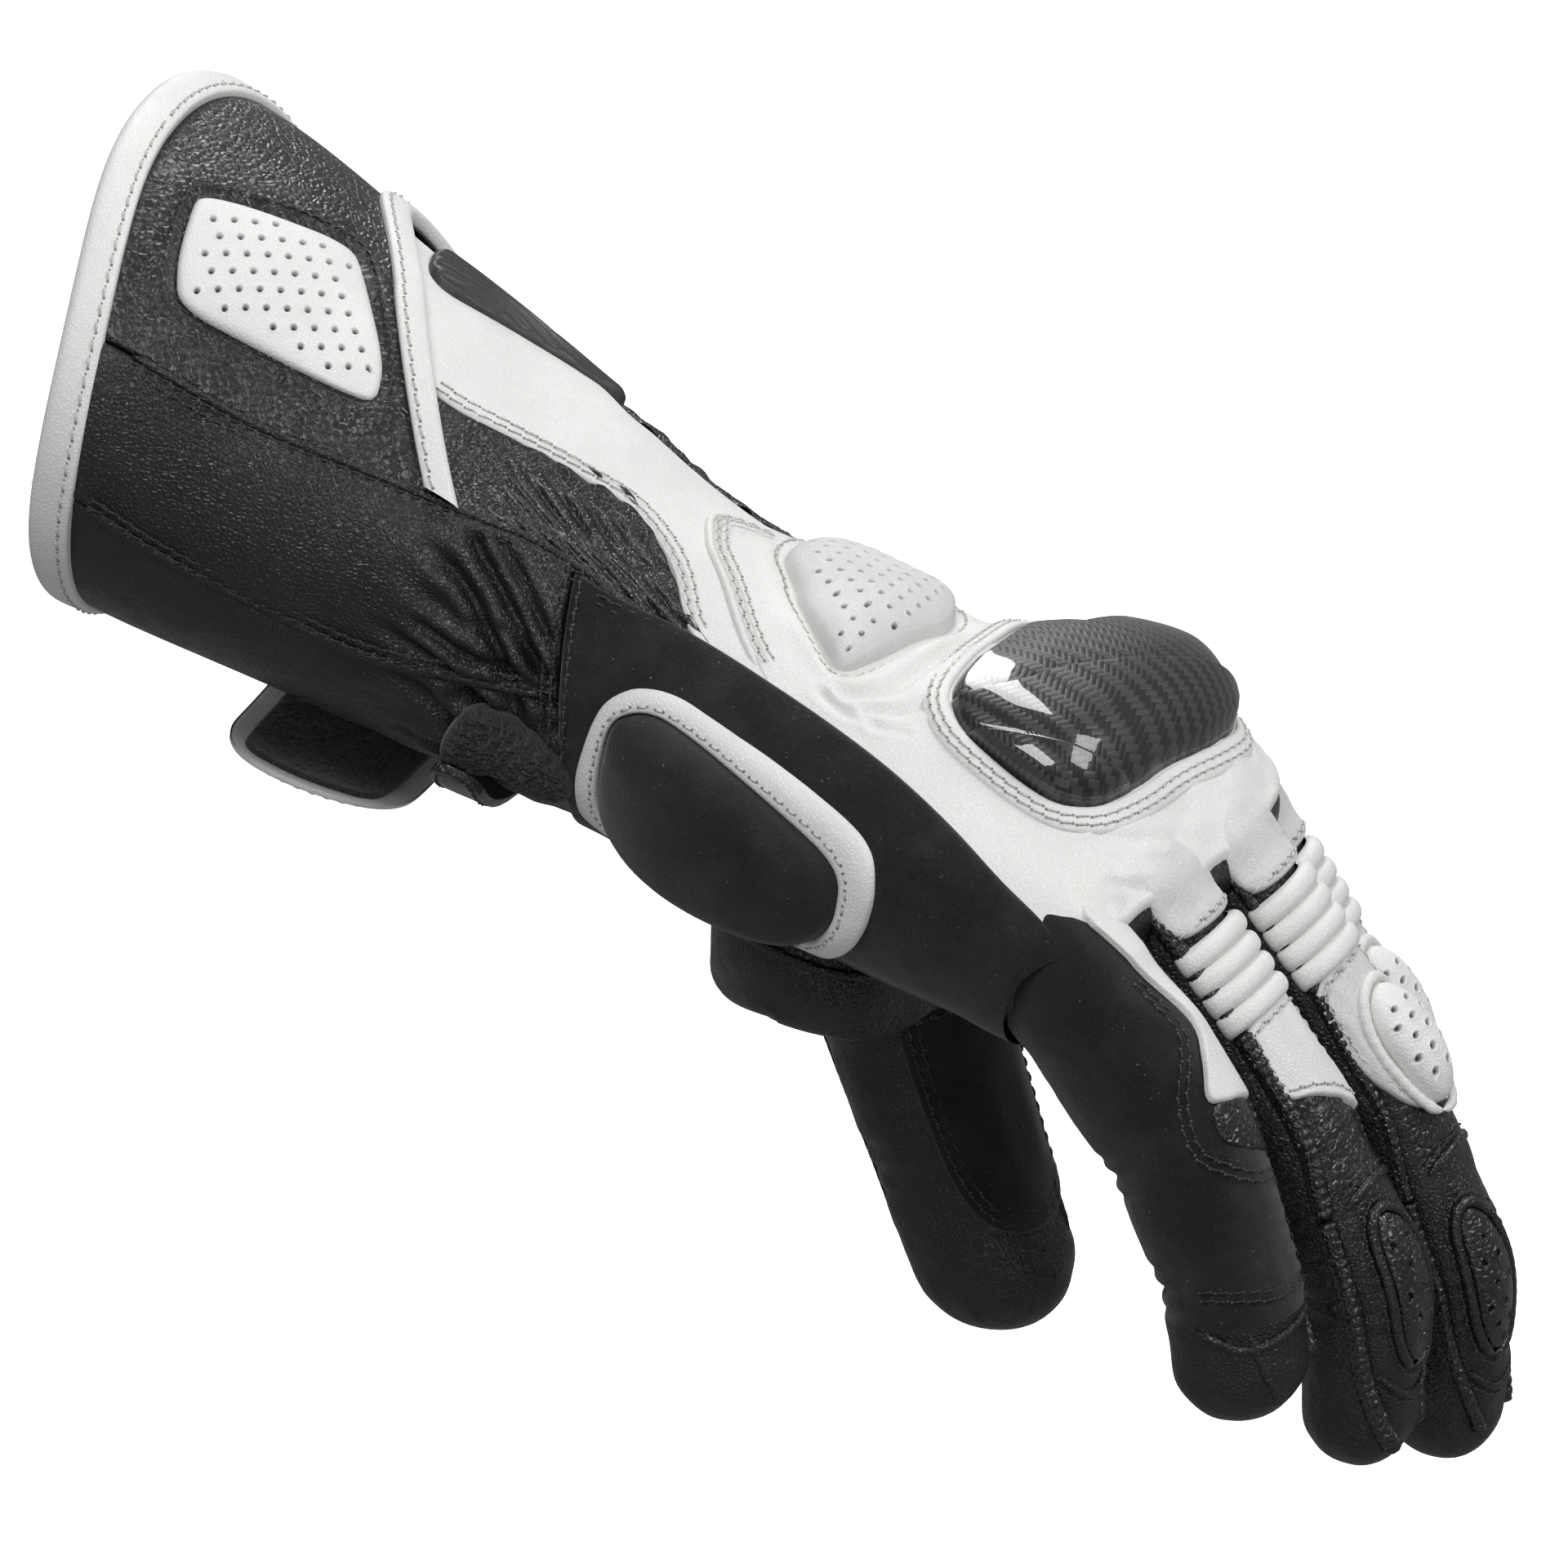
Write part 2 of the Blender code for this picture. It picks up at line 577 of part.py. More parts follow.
def pivot_empty(name, collection, place, turn, parent):
    """An empty on a joint's axis. place is in the parent's frame, in millimetres."""
    made = bpy.data.objects.new(name, None)
    made.empty_display_size = 0.01
    made.location = Vector(place) * MM
    made.rotation_euler = [math.radians(a) for a in turn]
    made.parent = parent
    collection.objects.link(made)
    return made


def make_finger(shop, name, spec, wrist):
    knuckle, yaw, lengths, pitches, half_width, heights = spec
    at_wrist = np.array(knuckle, float) - np.array(WRIST_AXIS)
    base = pivot_empty(name + "_base_pivot", shop.parts, at_wrist, (0, pitches[0], yaw), wrist)
    step = pitches[1] - pitches[0]
    middle = pivot_empty(name + "_mid_pivot", shop.parts, (lengths[0], 0, 0), (0, step, 0), base)
    step = pitches[2] - pitches[1]
    tip = pivot_empty(name + "_tip_pivot", shop.parts, (lengths[1], 0, 0), (0, step, 0), middle)
    surfaces = (
        on_finger(half_width, (heights[0], heights[1]), lengths[0]),
        on_finger(half_width, (heights[1], heights[2]), lengths[1]),
        on_finger(half_width - 0.2, (heights[2], heights[2] - 1.2), lengths[2]),
    )

    def gap(recess):
        return lambda a: 1.0 + recess * (1 - np.cos(np.radians(a))) / 2

    def to_end(length, recess):
        return lambda a: length - 1.0 - recess * (1 - np.cos(np.radians(a))) / 2

    finish = "suede" if name == "little" else "black_leather"
    first_end = to_end(lengths[0], KNUCKLE_RECESS)
    second_end = to_end(lengths[1], TIP_RECESS)
    round_tip = half_width
    shop.tube(name + "_base_shell", surfaces[0], at(0.8), first_end, 2, 12, LEATHER, finish, base)
    shop.tube(
        name + "_mid_shell", surfaces[1], gap(KNUCKLE_RECESS), second_end, 2, 12, LEATHER, finish, middle
    )
    shop.tube(
        name + "_tip_shell", surfaces[2], gap(TIP_RECESS), at(lengths[2] - round_tip), 2, 12, LEATHER,
        "black_leather", tip, round_tip
    )
    if name == "little":
        crowned(
            shop, "little_back_panel", surfaces[0], (8, 28), 36, 1.4, 1.8, "white_leather", base
        )
        return
    ribbed_panel(shop, name + "_stretch_panel", surfaces[0], base)
    reach = (22, lengths[0] - 2.5)
    if name == "ring":
        crowned(shop, "ring_knuckle_panel", surfaces[0], reach, 44, 1.4, 2.0, "white_leather", base)
    else:
        pad = name + "_knuckle_pad"
        crowned(shop, pad, surfaces[0], reach, 44, 1.6, 5.4, "white_leather", base)
    insert = name + "_vent_insert"
    crowned(shop, insert, surfaces[1], (6, lengths[1] - 4), 28, 1.2, 1.8, "black_leather", middle)


def ribbed_panel(shop, name, place, parent):
    """Four soft ribs across the back of a finger, one solid."""
    steps = STRETCH_RIBS * 2 + 1
    along = np.linspace(*STRETCH_REACH, steps)
    wave = 1.4 + 1.4 * np.abs(np.sin(np.linspace(0, STRETCH_RIBS * np.pi, steps)))
    angles = np.linspace(40, -40, 5)
    shop.slab(name, place, along, angles, LAYER_GAP, wave[:, None], "white_leather", parent)


def crowned(shop, name, place, reach, half_angle, edge, crown, finish, parent):
    """A pad across a finger, its top higher in the middle than at its edges."""
    along = np.linspace(*reach, 6)
    angles = np.linspace(half_angle, -half_angle, 6)
    across = (angles / half_angle)[None, :]
    down = np.linspace(-1, 1, 6)[:, None]
    high = edge + (crown - edge) * (1 - down**4) * (1 - across**4)
    shop.slab(name, place, along, angles, LAYER_GAP, high, finish, parent)


def make_thumb(shop, wrist):
    pivot, yaw, pitch, lengths, half_width, heights = THUMB
    at_wrist = np.array(pivot) - np.array(WRIST_AXIS)
    turn = Matrix.Rotation(math.radians(yaw), 3, "Z") @ Matrix.Rotation(math.radians(pitch), 3, "Y")
    turn = turn @ Matrix.Rotation(math.radians(THUMB_ROLL), 3, "X")
    angles = [math.degrees(a) for a in turn.to_euler()]
    base = pivot_empty("thumb_base_pivot", shop.parts, at_wrist, angles, wrist)
    tip = pivot_empty("thumb_tip_pivot", shop.parts, (lengths[0], 0, 0), (0, 0, 0), base)
    surfaces = (
        on_finger(half_width + 1.5, (heights[0], heights[1]), lengths[0]),
        on_finger(half_width, (heights[1], heights[2]), lengths[1]),
    )

    def gap(a):
        return 1.0 + 9.0 * (1 - np.cos(np.radians(a))) / 2

    shop.tube(
        "thumb_base_shell", surfaces[0], at(0.5), lambda a: lengths[0] - gap(a), 3, 14, LEATHER,
        "black_leather", base
    )
    shop.tube(
        "thumb_tip_shell", surfaces[1], gap, at(lengths[1] - half_width), 2, 14, LEATHER,
        "black_leather", tip, half_width
    )
    under = thumb_underside(surfaces[0])
    crowned(shop, "thumb_grip_patch", under, (12, 49), 36, 1.3, 1.7, "suede", base)
    crowned(shop, "thumb_back_panel", surfaces[0], (14, 55), 34, 1.3, 1.7, "white_leather", base)


def thumb_underside(place):
    """The same surface with its angles counted from the palm side."""
    return lambda s, angle, offset: place(s, angle + 180.0, offset)


def main():
    clear_scene()
    shop = Workshop(new_collection("riding_glove"), new_collection("cutters"))
    wrist = pivot_empty("wrist_pivot", shop.parts, WRIST_AXIS, (0, 0, 0), None)
    flap_place = closure_pivot(FLAP_MIDDLE_X, FLAP_START)
    flap = pivot_empty("cuff_flap_pivot", shop.parts, flap_place, (0, 0, 0), None)
    strap_place = closure_pivot((STRAP_START_X + STRAP_END_X) / 2, STRAP_START)
    strap = pivot_empty("wrist_strap_pivot", shop.parts, strap_place, (0, 0, 0), None)
    make_gauntlet(shop)
    make_closures(shop, flap, strap)
    make_hand(shop, wrist)
    for name, spec in FINGERS.items():
        make_finger(shop, name, spec, wrist)
    make_thumb(shop, wrist)
    bpy.context.view_layer.update()


main()
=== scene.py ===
"""Looks of a right-hand riding glove: leather panels, suede, pads, shield, seams and stitching.

Row frame: origin at the middle of the cuff opening, +X towards the fingers, +Y towards the
thumb side, +Z out of the back of the hand. Shapes are worked out in millimetres. A place on the
gauntlet or hand is (distance from the cuff, angle from the back of the hand towards the little
finger, offset outwards). A place on a finger is (distance from its first knuckle, angle, offset).
"""

import math

import bpy
import numpy as np
from mathutils import Matrix, Vector


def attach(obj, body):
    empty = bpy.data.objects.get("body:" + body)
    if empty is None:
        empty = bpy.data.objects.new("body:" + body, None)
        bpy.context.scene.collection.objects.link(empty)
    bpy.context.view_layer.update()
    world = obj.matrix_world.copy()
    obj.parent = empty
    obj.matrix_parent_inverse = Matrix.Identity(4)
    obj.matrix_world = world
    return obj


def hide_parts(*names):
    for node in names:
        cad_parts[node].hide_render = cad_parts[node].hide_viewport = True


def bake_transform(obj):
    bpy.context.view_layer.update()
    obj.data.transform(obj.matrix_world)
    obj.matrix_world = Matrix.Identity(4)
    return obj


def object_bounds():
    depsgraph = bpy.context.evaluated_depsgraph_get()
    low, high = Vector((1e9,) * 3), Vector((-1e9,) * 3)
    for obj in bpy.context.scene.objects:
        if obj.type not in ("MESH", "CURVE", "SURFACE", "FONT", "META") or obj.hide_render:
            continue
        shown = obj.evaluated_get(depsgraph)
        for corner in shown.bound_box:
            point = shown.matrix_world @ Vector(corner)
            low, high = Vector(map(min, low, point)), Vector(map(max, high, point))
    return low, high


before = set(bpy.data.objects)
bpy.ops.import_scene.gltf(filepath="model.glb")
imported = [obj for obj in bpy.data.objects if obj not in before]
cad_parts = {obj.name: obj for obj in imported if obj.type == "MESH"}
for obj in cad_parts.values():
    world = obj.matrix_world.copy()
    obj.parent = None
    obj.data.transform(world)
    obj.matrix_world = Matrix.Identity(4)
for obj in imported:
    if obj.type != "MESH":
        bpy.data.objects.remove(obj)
cad_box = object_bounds()

MM = 0.001
# Millimetres round the surface for one degree: hand, finger, little finger, fingertip, thumb.
ARC = 0.75
FINGER_ARC = 0.21
LITTLE_ARC = 0.22
TIP_ARC = 0.2
THUMB_ARC = 0.27

# Sections of gauntlet and hand: distance, middle height, half width, half height, squareness.
SECTIONS = np.array(
    (
        (-24, 0.0, 60.0, 44.5, 2.1),
        (0, 0.0, 57.5, 43.0, 2.1),
        (40, -3.0, 51.5, 38.5, 2.1),
        (80, -6.0, 44.5, 33.0, 2.2),
        (106, -8.5, 39.5, 29.0, 2.3),
        (118, -8.5, 39.0, 27.5, 2.3),
        (140, -8.0, 42.5, 26.0, 2.4),
        (170, -6.0, 47.0, 25.0, 2.5),
        (200, -5.0, 49.0, 21.5, 2.6),
        (222, -5.0, 48.5, 18.0, 2.6),
    )
)
# Fingers: first knuckle, yaw, bone lengths, pitch of each bone below +X, half width, half
# heights, and how much fuller the back is than the palm side.
FINGERS = {
    "index": ((218, 36.0, -14), 3.0, (44, 30, 36), (37, 56, 74), 11.0, (13.5, 12.2, 11.4), 0.0),
    "middle": ((224, 12.0, -5), 1.0, (47, 35, 40), (32, 46, 71), 11.2, (13.5, 12.4, 11.6), 0.0),
    "ring": ((220, -12.5, -5), -1.5, (44, 30, 38), (32, 41, 72), 11.2, (13.5, 12.2, 11.4), 0.0),
    "little": (
        (215, -37.0, -6.5), -4.5, (34, 25, 29), (33, 48, 62), 11.4, (14.0, 12.6, 11.2), 3.4
    ),
}
THUMB_ROOT = np.array((153.0, 28.5, -43.8))
THUMB_YAW, THUMB_PITCH = -6.0, 56.0
THUMB_BONES = (61.0, 36.5)
THUMB_SWAY = 9.5  # how far a thumb 100 mm long curves towards the fingers
# The thumb's root: a ring on the palm (middle and half size of its distance and angle), the
# distance at which it meets the thumb, the swell of its heel, and how far its loft is pulled
# along the ring's normal, along the thumb at the start and along the thumb at the end.
THUMB_FOOT = ((157, 22), (191, 47))
THUMB_JOIN = 26.0
THUMB_HEEL = 3.0
THUMB_PULLS = (1.4, 0.75, 0.5)
THUMB_REACH = 60.0
TIP_DOME = 15  # length of the thumb's rounded end
WRIST_BEND = ((0.088, 0.0, -0.0085), (0.124, 0.0, -0.0085))

# Seams of the gauntlet and hand, as (distance, angle).
SIDE_SEAM = (
    (-20, 53), (8, 52.5), (34, 51.5), (53.5, 47.5), (70, 43.5), (79.5, 40.5), (89, 37), (99.5, 36),
    (106.5, 37), (121, 34)
)
LOWER_SEAM = (
    (-20, 89), (10.5, 90.5), (30.5, 93.5), (54.5, 94), (71, 93.5), (90.5, 86.5), (104, 80)
)
SUEDE_TOP = (
    (99, 38), (106.5, 37), (121, 34), (143, 33.5), (161.5, 37.5), (182.5, 45), (200.5, 54.5),
    (213, 60), (222, 61)
)
STRIP_EDGE = (
    (30, 12), (50, 15.5), (62.5, 16), (73.5, 12.5), (86.5, 9), (97.5, 7), (104, 10), (111, 17),
    (120.5, 33.5), (126, 38)
)
WRIST_SEAM = ((36, 97), (48, 99.5), (77, 105.5), (117.5, 113), (140, 114))
BACK_EDGE = (
    (-82, 117), (-50, 118), (-27, 122), (-20, 114), (-12, 109.5), (-3, 111), (9.5, 119.5),
    (27.5, 132), (33, 137), (42, 143)
)
THUMB_SIDE = -128.0

# Outlines of the pads and patches, as (distance, angle).
VENT_PAD = (
    (1.5, 10), (10, 4.5), (28, -4.5), (33.5, 0), (47, 17.5), (50.5, 27.5), (48.5, 31), (30, 34.5),
    (11.5, 37), (6.5, 27.5), (2.5, 14.5)
)
WRIST_PAD = (
    (122.5, -14), (125, -44), (150, -50), (157.5, -20), (154.5, -2), (149.5, 20), (141, 11),
    (132, 1)
)
SHIELD = (
    (167.5, 11), (165.5, -1.5), (165.5, -15.5), (166, -40), (171, -62), (200, -64), (211.5, -36),
    (211, -18), (208.5, -6), (206, 5.5), (203, 15), (197, 21.5), (189, 22), (179.5, 20),
    (173, 17.5)
)
SLIDER = (
    (117, 85), (117, 75), (121, 68), (126, 65.5), (139.5, 67.5), (163.5, 77.5), (169.5, 84),
    (171.5, 97), (166, 120), (142, 127), (121, 116)
)
SLIDER_BORDER = (
    (113.5, 82), (114, 70.5), (117.5, 61.5), (122, 57), (131, 55), (150.5, 58), (168.5, 65),
    (174, 72), (177.5, 88.5), (176, 106), (170, 128), (142, 135.5), (117, 123), (114, 102)
)
TRIM_PLATE = ((41, -13), (35, -38), (42, -62), (76, -52), (82, -40), (76, -33), (60, -22))


def smooth_between(x, table, column=1):
    """Catmull-Rom value of one column of a station table at every x, held at the ends."""
    table = np.asarray(table, float)
    xs = table[:, 0]
    values = table[:, column]
    x = np.clip(np.asarray(x, float), xs[0], xs[-1])
    slopes = np.gradient(values, xs)
    k = np.clip(np.searchsorted(xs, x, side="right") - 1, 0, len(xs) - 2)
    span = xs[k + 1] - xs[k]
    t = (x - xs[k]) / span
    a = values[k] * (2 * t**3 - 3 * t**2 + 1) + values[k + 1] * (3 * t**2 - 2 * t**3)
    b = slopes[k] * (t**3 - 2 * t**2 + t) + slopes[k + 1] * (t**3 - t**2)
    return a + b * span


def signed_power(value, power):
    """The power of a value's size, with the value's own sign."""
    return np.sign(value) * np.abs(value) ** power


def ease(t):
    """0 below 0, 1 above 1, and a smooth step between."""
    t = np.clip(t, 0, 1)
    return t * t * (3 - 2 * t)


def unit(vectors):
    """Vectors of length one."""
    return vectors / np.maximum(np.linalg.norm(vectors, axis=-1, keepdims=True), 1e-9)


# How far the back of the hand reaches over the fingers, by sideways position.
KNUCKLE_ROW = (
    (-50, 216), (-37, 219), (-25, 219.5), (-12.5, 223.5), (0, 224), (12, 227.5), (24, 224.5),
    (36, 223), (50, 217)
)
# The back curves down over the finger roots: from this far before its end, and this steeply.
DROOP_START, DROOP = 14.0, 0.0185
# How far the thumb side of the back of the hand sinks below the sections, by distance.
BACK_SINK = (
    (90, 0), (105, 1.5), (120, 2.6), (135, 4.0), (155, 4.0), (170, 3.0), (185, 1.2), (200, 0),
    (210, 0)
)


def section(x, angle, offset=0.0):
    """Superellipse sections carried along the forearm and hand, moved outwards by the offset."""
    x, angle, offset = np.broadcast_arrays(np.asarray(x, float), np.radians(angle), offset)
    middle, half_width, half_height, square = (smooth_between(x, SECTIONS, c) for c in range(1, 5))
    y = -(half_width + offset) * signed_power(np.sin(angle), 2 / square)
    z = middle + (half_height + offset) * signed_power(np.cos(angle), 2 / square)
    return np.stack([x, y, z], axis=-1)


def glove(x, angle, offset=0.0):
    """The sections, curving down over the finger roots and sinking towards the thumb side.

    The curve's drop is a square of how far a place is past its start; the sinking is a smooth
    table of the distance, faded round the hand.
    """
    points = section(x, angle, offset)
    turn = (np.asarray(angle, float) + 180) % 360 - 180
    sides = ease((14 - turn) / 34) * ease((turn + 115) / 45)
    points[..., 2] -= smooth_between(points[..., 0], BACK_SINK) * sides
    row = smooth_between(points[..., 1], KNUCKLE_ROW)
    past = np.clip(points[..., 0] - row + DROOP_START, 0, 20)
    points[..., 2] -= DROOP * past**2 * ease(np.cos(np.radians(angle)) * 2.2 + 0.6)
    return points


def cuff_edge(angle):
    """The cuff's opening: furthest back over the forearm, and cut away a little under it."""
    back = (1 + np.cos(np.radians(angle + 12.0))) / 2
    return 3 - 20 * back**4 + 8 * (1 - back) ** 2


def notch_edge(angle):
    """A V with a round bottom, its middle over the back of the wrist."""
    return 27 + 0.66 * (np.sqrt((angle + 38.0) ** 2 + 169.0) - 13.0)


def hand_end(angle):
    """Where the hand's panels end over the finger roots: furthest at the middle finger's back."""
    y = section(np.full_like(np.asarray(angle, float), 214.0), angle)[..., 1]
    under = ease(0.9 * (1 - np.cos(np.radians(angle))))
    return smooth_between(y, KNUCKLE_ROW) - 9 * under


def bone_line(start, yaw, lengths, pitches, s):
    """Centre line of a finger: short arcs at the joints between straight bones.

    The pitch steps smoothly over each joint, and the line is the running sum of its direction.
    """
    lead = 12.0  # pitch of the hand's back, in degrees, where the finger leaves it
    fine = np.linspace(-30, sum(lengths) + 2, 1200)
    pitch = lead + (pitches[0] - lead) * ease((fine + 16) / 18)
    at = 0.0
    for k in range(1, len(lengths)):
        at += lengths[k - 1]
        pitch = pitch + (pitches[k] - pitches[k - 1]) * ease((fine - at + 8) / 16)
    p, w = np.radians(pitch), math.radians(yaw)
    ahead = np.stack([np.cos(p) * np.cos(w), np.cos(p) * np.sin(w), -np.sin(p)], axis=-1)
    steps = (ahead[1:] + ahead[:-1]) / 2 * (fine[1] - fine[0])
    line = np.vstack([np.zeros(3), np.cumsum(steps, axis=0)])
    first = math.radians(pitches[0])
    way = np.array(
        [math.cos(first) * math.cos(w), math.cos(first) * math.sin(w), -math.sin(first)]
    )
    pin = np.array([np.interp(4.0, fine, line[:, k]) for k in range(3)])
    line = line - pin + np.array(start, float) + 4.0 * way
    centre = np.stack([np.interp(s, fine, line[:, k]) for k in range(3)], axis=-1)
    return centre, np.radians(np.interp(s, fine, pitch)), w


def finger_place(name):
    """The surface of one finger: a rounded section carried along its bones, domed at the tip."""
    knuckle, yaw, lengths, pitches, half_width, heights, fuller = FINGERS[name]
    total = sum(lengths)
    stations = (-20, 0, lengths[0], lengths[0] + lengths[1], total)
    tall = (heights[0] - 3.5, heights[0], heights[1], heights[2], heights[2] - 1.2)

    def place(s, angle, offset=0.0):
        s, angle, offset = np.broadcast_arrays(np.asarray(s, float), np.radians(angle), offset)
        centre, p, w = bone_line(knuckle, yaw, lengths, pitches, s)
        back = np.stack([np.sin(p) * np.cos(w), np.sin(p) * np.sin(w), np.cos(p)], axis=-1)
        side = np.array([-math.sin(w), math.cos(w), 0.0])
        dome = np.sqrt(
            np.clip(1 - np.clip((s - total + half_width) / half_width, 0, 1) ** 2, 0, 1)
        )
        high = np.interp(s, stations, tall) + fuller * ease((s - 2) / 16) * (np.cos(angle) > 0)
        out = (half_width + offset) * signed_power(np.sin(angle), 0.87) * dome
        up = (high + offset) * signed_power(np.cos(angle), 0.87) * dome
        end = offset * np.sqrt(np.clip(1 - dome**2, 0, 1))
        ahead = np.stack([np.cos(p) * np.cos(w), np.cos(p) * np.sin(w), -np.sin(p)], axis=-1)
        return centre - side * out[..., None] + back * up[..., None] + ahead * end[..., None]

    return place


def thumb_frame():
    """The thumb's own directions: along it, out of its back, and sideways towards the wrist."""
    yaw, pitch = math.radians(THUMB_YAW), math.radians(THUMB_PITCH)
    ahead = np.array(
        (math.cos(pitch) * math.cos(yaw), math.cos(pitch) * math.sin(yaw), -math.sin(pitch))
    )
    back = np.array((-math.sin(yaw), math.cos(yaw), 0.0))
    side = -np.array(
        (math.sin(pitch) * math.cos(yaw), math.sin(pitch) * math.sin(yaw), math.cos(pitch))
    )
    return ahead, back, side


def thumb_place(s, angle, offset=0.0):
    """The thumb: rounded sections on a line that curves towards the fingers, domed at the tip."""
    ahead, back, side = thumb_frame()
    s, angle, offset = np.broadcast_arrays(np.asarray(s, float), np.radians(angle), offset)
    total = sum(THUMB_BONES)
    wide = np.interp(s, (0, 30, 62, 80, total), (17.4, 17.4, 15.4, 15.0, 14.6))
    high = np.interp(s, (0, 30, 62, 80, total), (16.8, 15.4, 15.0, 14.6, 14.0))
    past = np.clip((s - total + TIP_DOME) / TIP_DOME, 0, 1)
    dome = np.sqrt(np.clip(1 - past**2.2, 0, 1))
    out = (wide + offset) * signed_power(np.sin(angle), 0.9) * dome
    up = (high + offset) * signed_power(np.cos(angle), 0.9) * dome
    end = s + offset * np.sqrt(np.clip(1 - dome**2, 0, 1))
    out = out + THUMB_SWAY * (np.clip(s, 0, None) / 100) ** 1.5
    return THUMB_ROOT + end[..., None] * ahead - out[..., None] * side + up[..., None] * back


def thumb_flare(k, angle, offset=0.0):
    """The thumb's root: a smooth loft from a ring on the palm to the thumb's first section.

    Hermite between the palm's ring, leaving along its normal, and the thumb, arriving along it,
    with the heel of the thumb swelling towards the wrist.
    """
    k, angle, offset = np.broadcast_arrays(np.asarray(k, float), np.asarray(angle, float), offset)
    turn = np.radians(angle)
    (middle, long), (middle_angle, wide) = THUMB_FOOT
    x = middle + long * np.sin(turn)
    around = middle_angle + wide * np.cos(turn)
    foot = glove(x, around, -0.6)
    out = unit(glove(x, around, 1.0) - glove(x, around, 0.0))
    ahead, _, side = thumb_frame()
    head = thumb_place(np.full_like(k, THUMB_JOIN), angle)
    leave, lean, arrive = THUMB_PULLS
    a = (2 * k**3 - 3 * k**2 + 1)[..., None] * foot + (3 * k**2 - 2 * k**3)[..., None] * head
    b = (k**3 - 2 * k**2 + k)[..., None] * (leave * out + lean * ahead) * THUMB_REACH
    c = (k**3 - k**2)[..., None] * ahead * THUMB_REACH * arrive
    heel = THUMB_HEEL * np.sin(np.pi * np.clip(k, 0, 1)) ** 2 * np.clip(-np.sin(turn), 0, 1)
    flared = a + b + c + heel[..., None] * side
    axis = THUMB_ROOT + ahead * (THUMB_JOIN * k - 10 * (1 - k))[..., None]
    return flared + unit(flared - axis) * offset[..., None]


# Meshes


def even_noise(u, v, size, seed):
    """Smooth value noise from -1 to 1 over two coordinates in millimetres."""
    grid = np.random.default_rng(seed).random((64, 64)) * 2 - 1
    u, v = np.asarray(u, float) / size, np.asarray(v, float) / size
    i, j = np.floor(u).astype(int), np.floor(v).astype(int)
    a, b = ease(u - i), ease(v - j)
    low = grid[i % 64, j % 64] * (1 - a) + grid[(i + 1) % 64, j % 64] * a
    high = grid[i % 64, (j + 1) % 64] * (1 - a) + grid[(i + 1) % 64, (j + 1) % 64] * a
    return low * (1 - b) + high * b


def skin(name, points, finish, wrap=False, turned=False, uv=None, shade=None, caps=(), loop=False):
    """A piece from a grid of points (rows, columns, 3) in millimetres, a quad between each four.

    wrap joins the last column to the first, loop the last row to the first, and caps closes the
    first ring (0) or the last (-1).
    """
    rows, columns = points.shape[:2]
    number = np.arange(rows * columns).reshape(rows, columns)
    if wrap:
        number = np.concatenate([number, number[:, :1]], axis=1)
    if loop:
        number = np.concatenate([number, number[:1]], axis=0)
    quads = np.stack([number[:-1, :-1], number[:-1, 1:], number[1:, 1:], number[1:, :-1]], axis=-1)
    quads = quads.reshape(-1, 4)
    faces = (quads[:, ::-1] if turned else quads).tolist()
    for end in caps:
        ring = number[end, :columns]
        faces.append((ring if (end == -1) != turned else ring[::-1]).tolist())
    return piece_of(name, points.reshape(-1, 3), faces, finish, uv, shade)


def piece_of(name, points, faces, finish, uv=None, shade=None):
    """A mesh object from points in millimetres, with its finish and the values its finish reads."""
    mesh = bpy.data.meshes.new(name)
    mesh.from_pydata((np.asarray(points) * MM).tolist(), [], faces)
    mesh.update()
    mesh.shade_smooth()
    if uv is not None:
        corner = np.empty(len(mesh.loops), np.int32)
        mesh.loops.foreach_get("vertex_index", corner)
        layer = mesh.uv_layers.new(name="weave")
        layer.data.foreach_set("uv", np.asarray(uv, np.float32).reshape(-1, 2)[corner].ravel())
    if shade is not None:
        layer = mesh.attributes.new("shade", "FLOAT", "POINT")
        layer.data.foreach_set("value", np.asarray(shade, np.float32).ravel())
    mesh.materials.append(FINISHES[finish])
    made = bpy.data.objects.new(name, mesh)
    bpy.context.scene.collection.objects.link(made)
    return made


def spaced(length, step, rim=(0.0, 0.2, 0.5, 0.9, 1.4, 2.1)):
    """Fractions from 0 to 1 about a step apart, closer together at both ends for a rolled edge."""
    rim = np.array(rim)
    inner = np.linspace(rim[-1], length - rim[-1], max(2, int((length - 2 * rim[-1]) / step) + 1))
    return np.concatenate([rim[:-1], inner, length - rim[:-1][::-1]]) / length


def rolled(distance, radius=1.1):
    """Height of a turned edge from 0 at the edge to 1, a quarter circle."""
    return np.sqrt(1 - (1 - np.clip(distance / radius, 0, 1)) ** 2)


def along_table(table):
    """A seam as a function: the table's second value for any first value."""
    return lambda value: smooth_between(value, table)


def still(value):
    """A seam that stays at one value."""
    return lambda other: np.full_like(np.asarray(other, float), value)


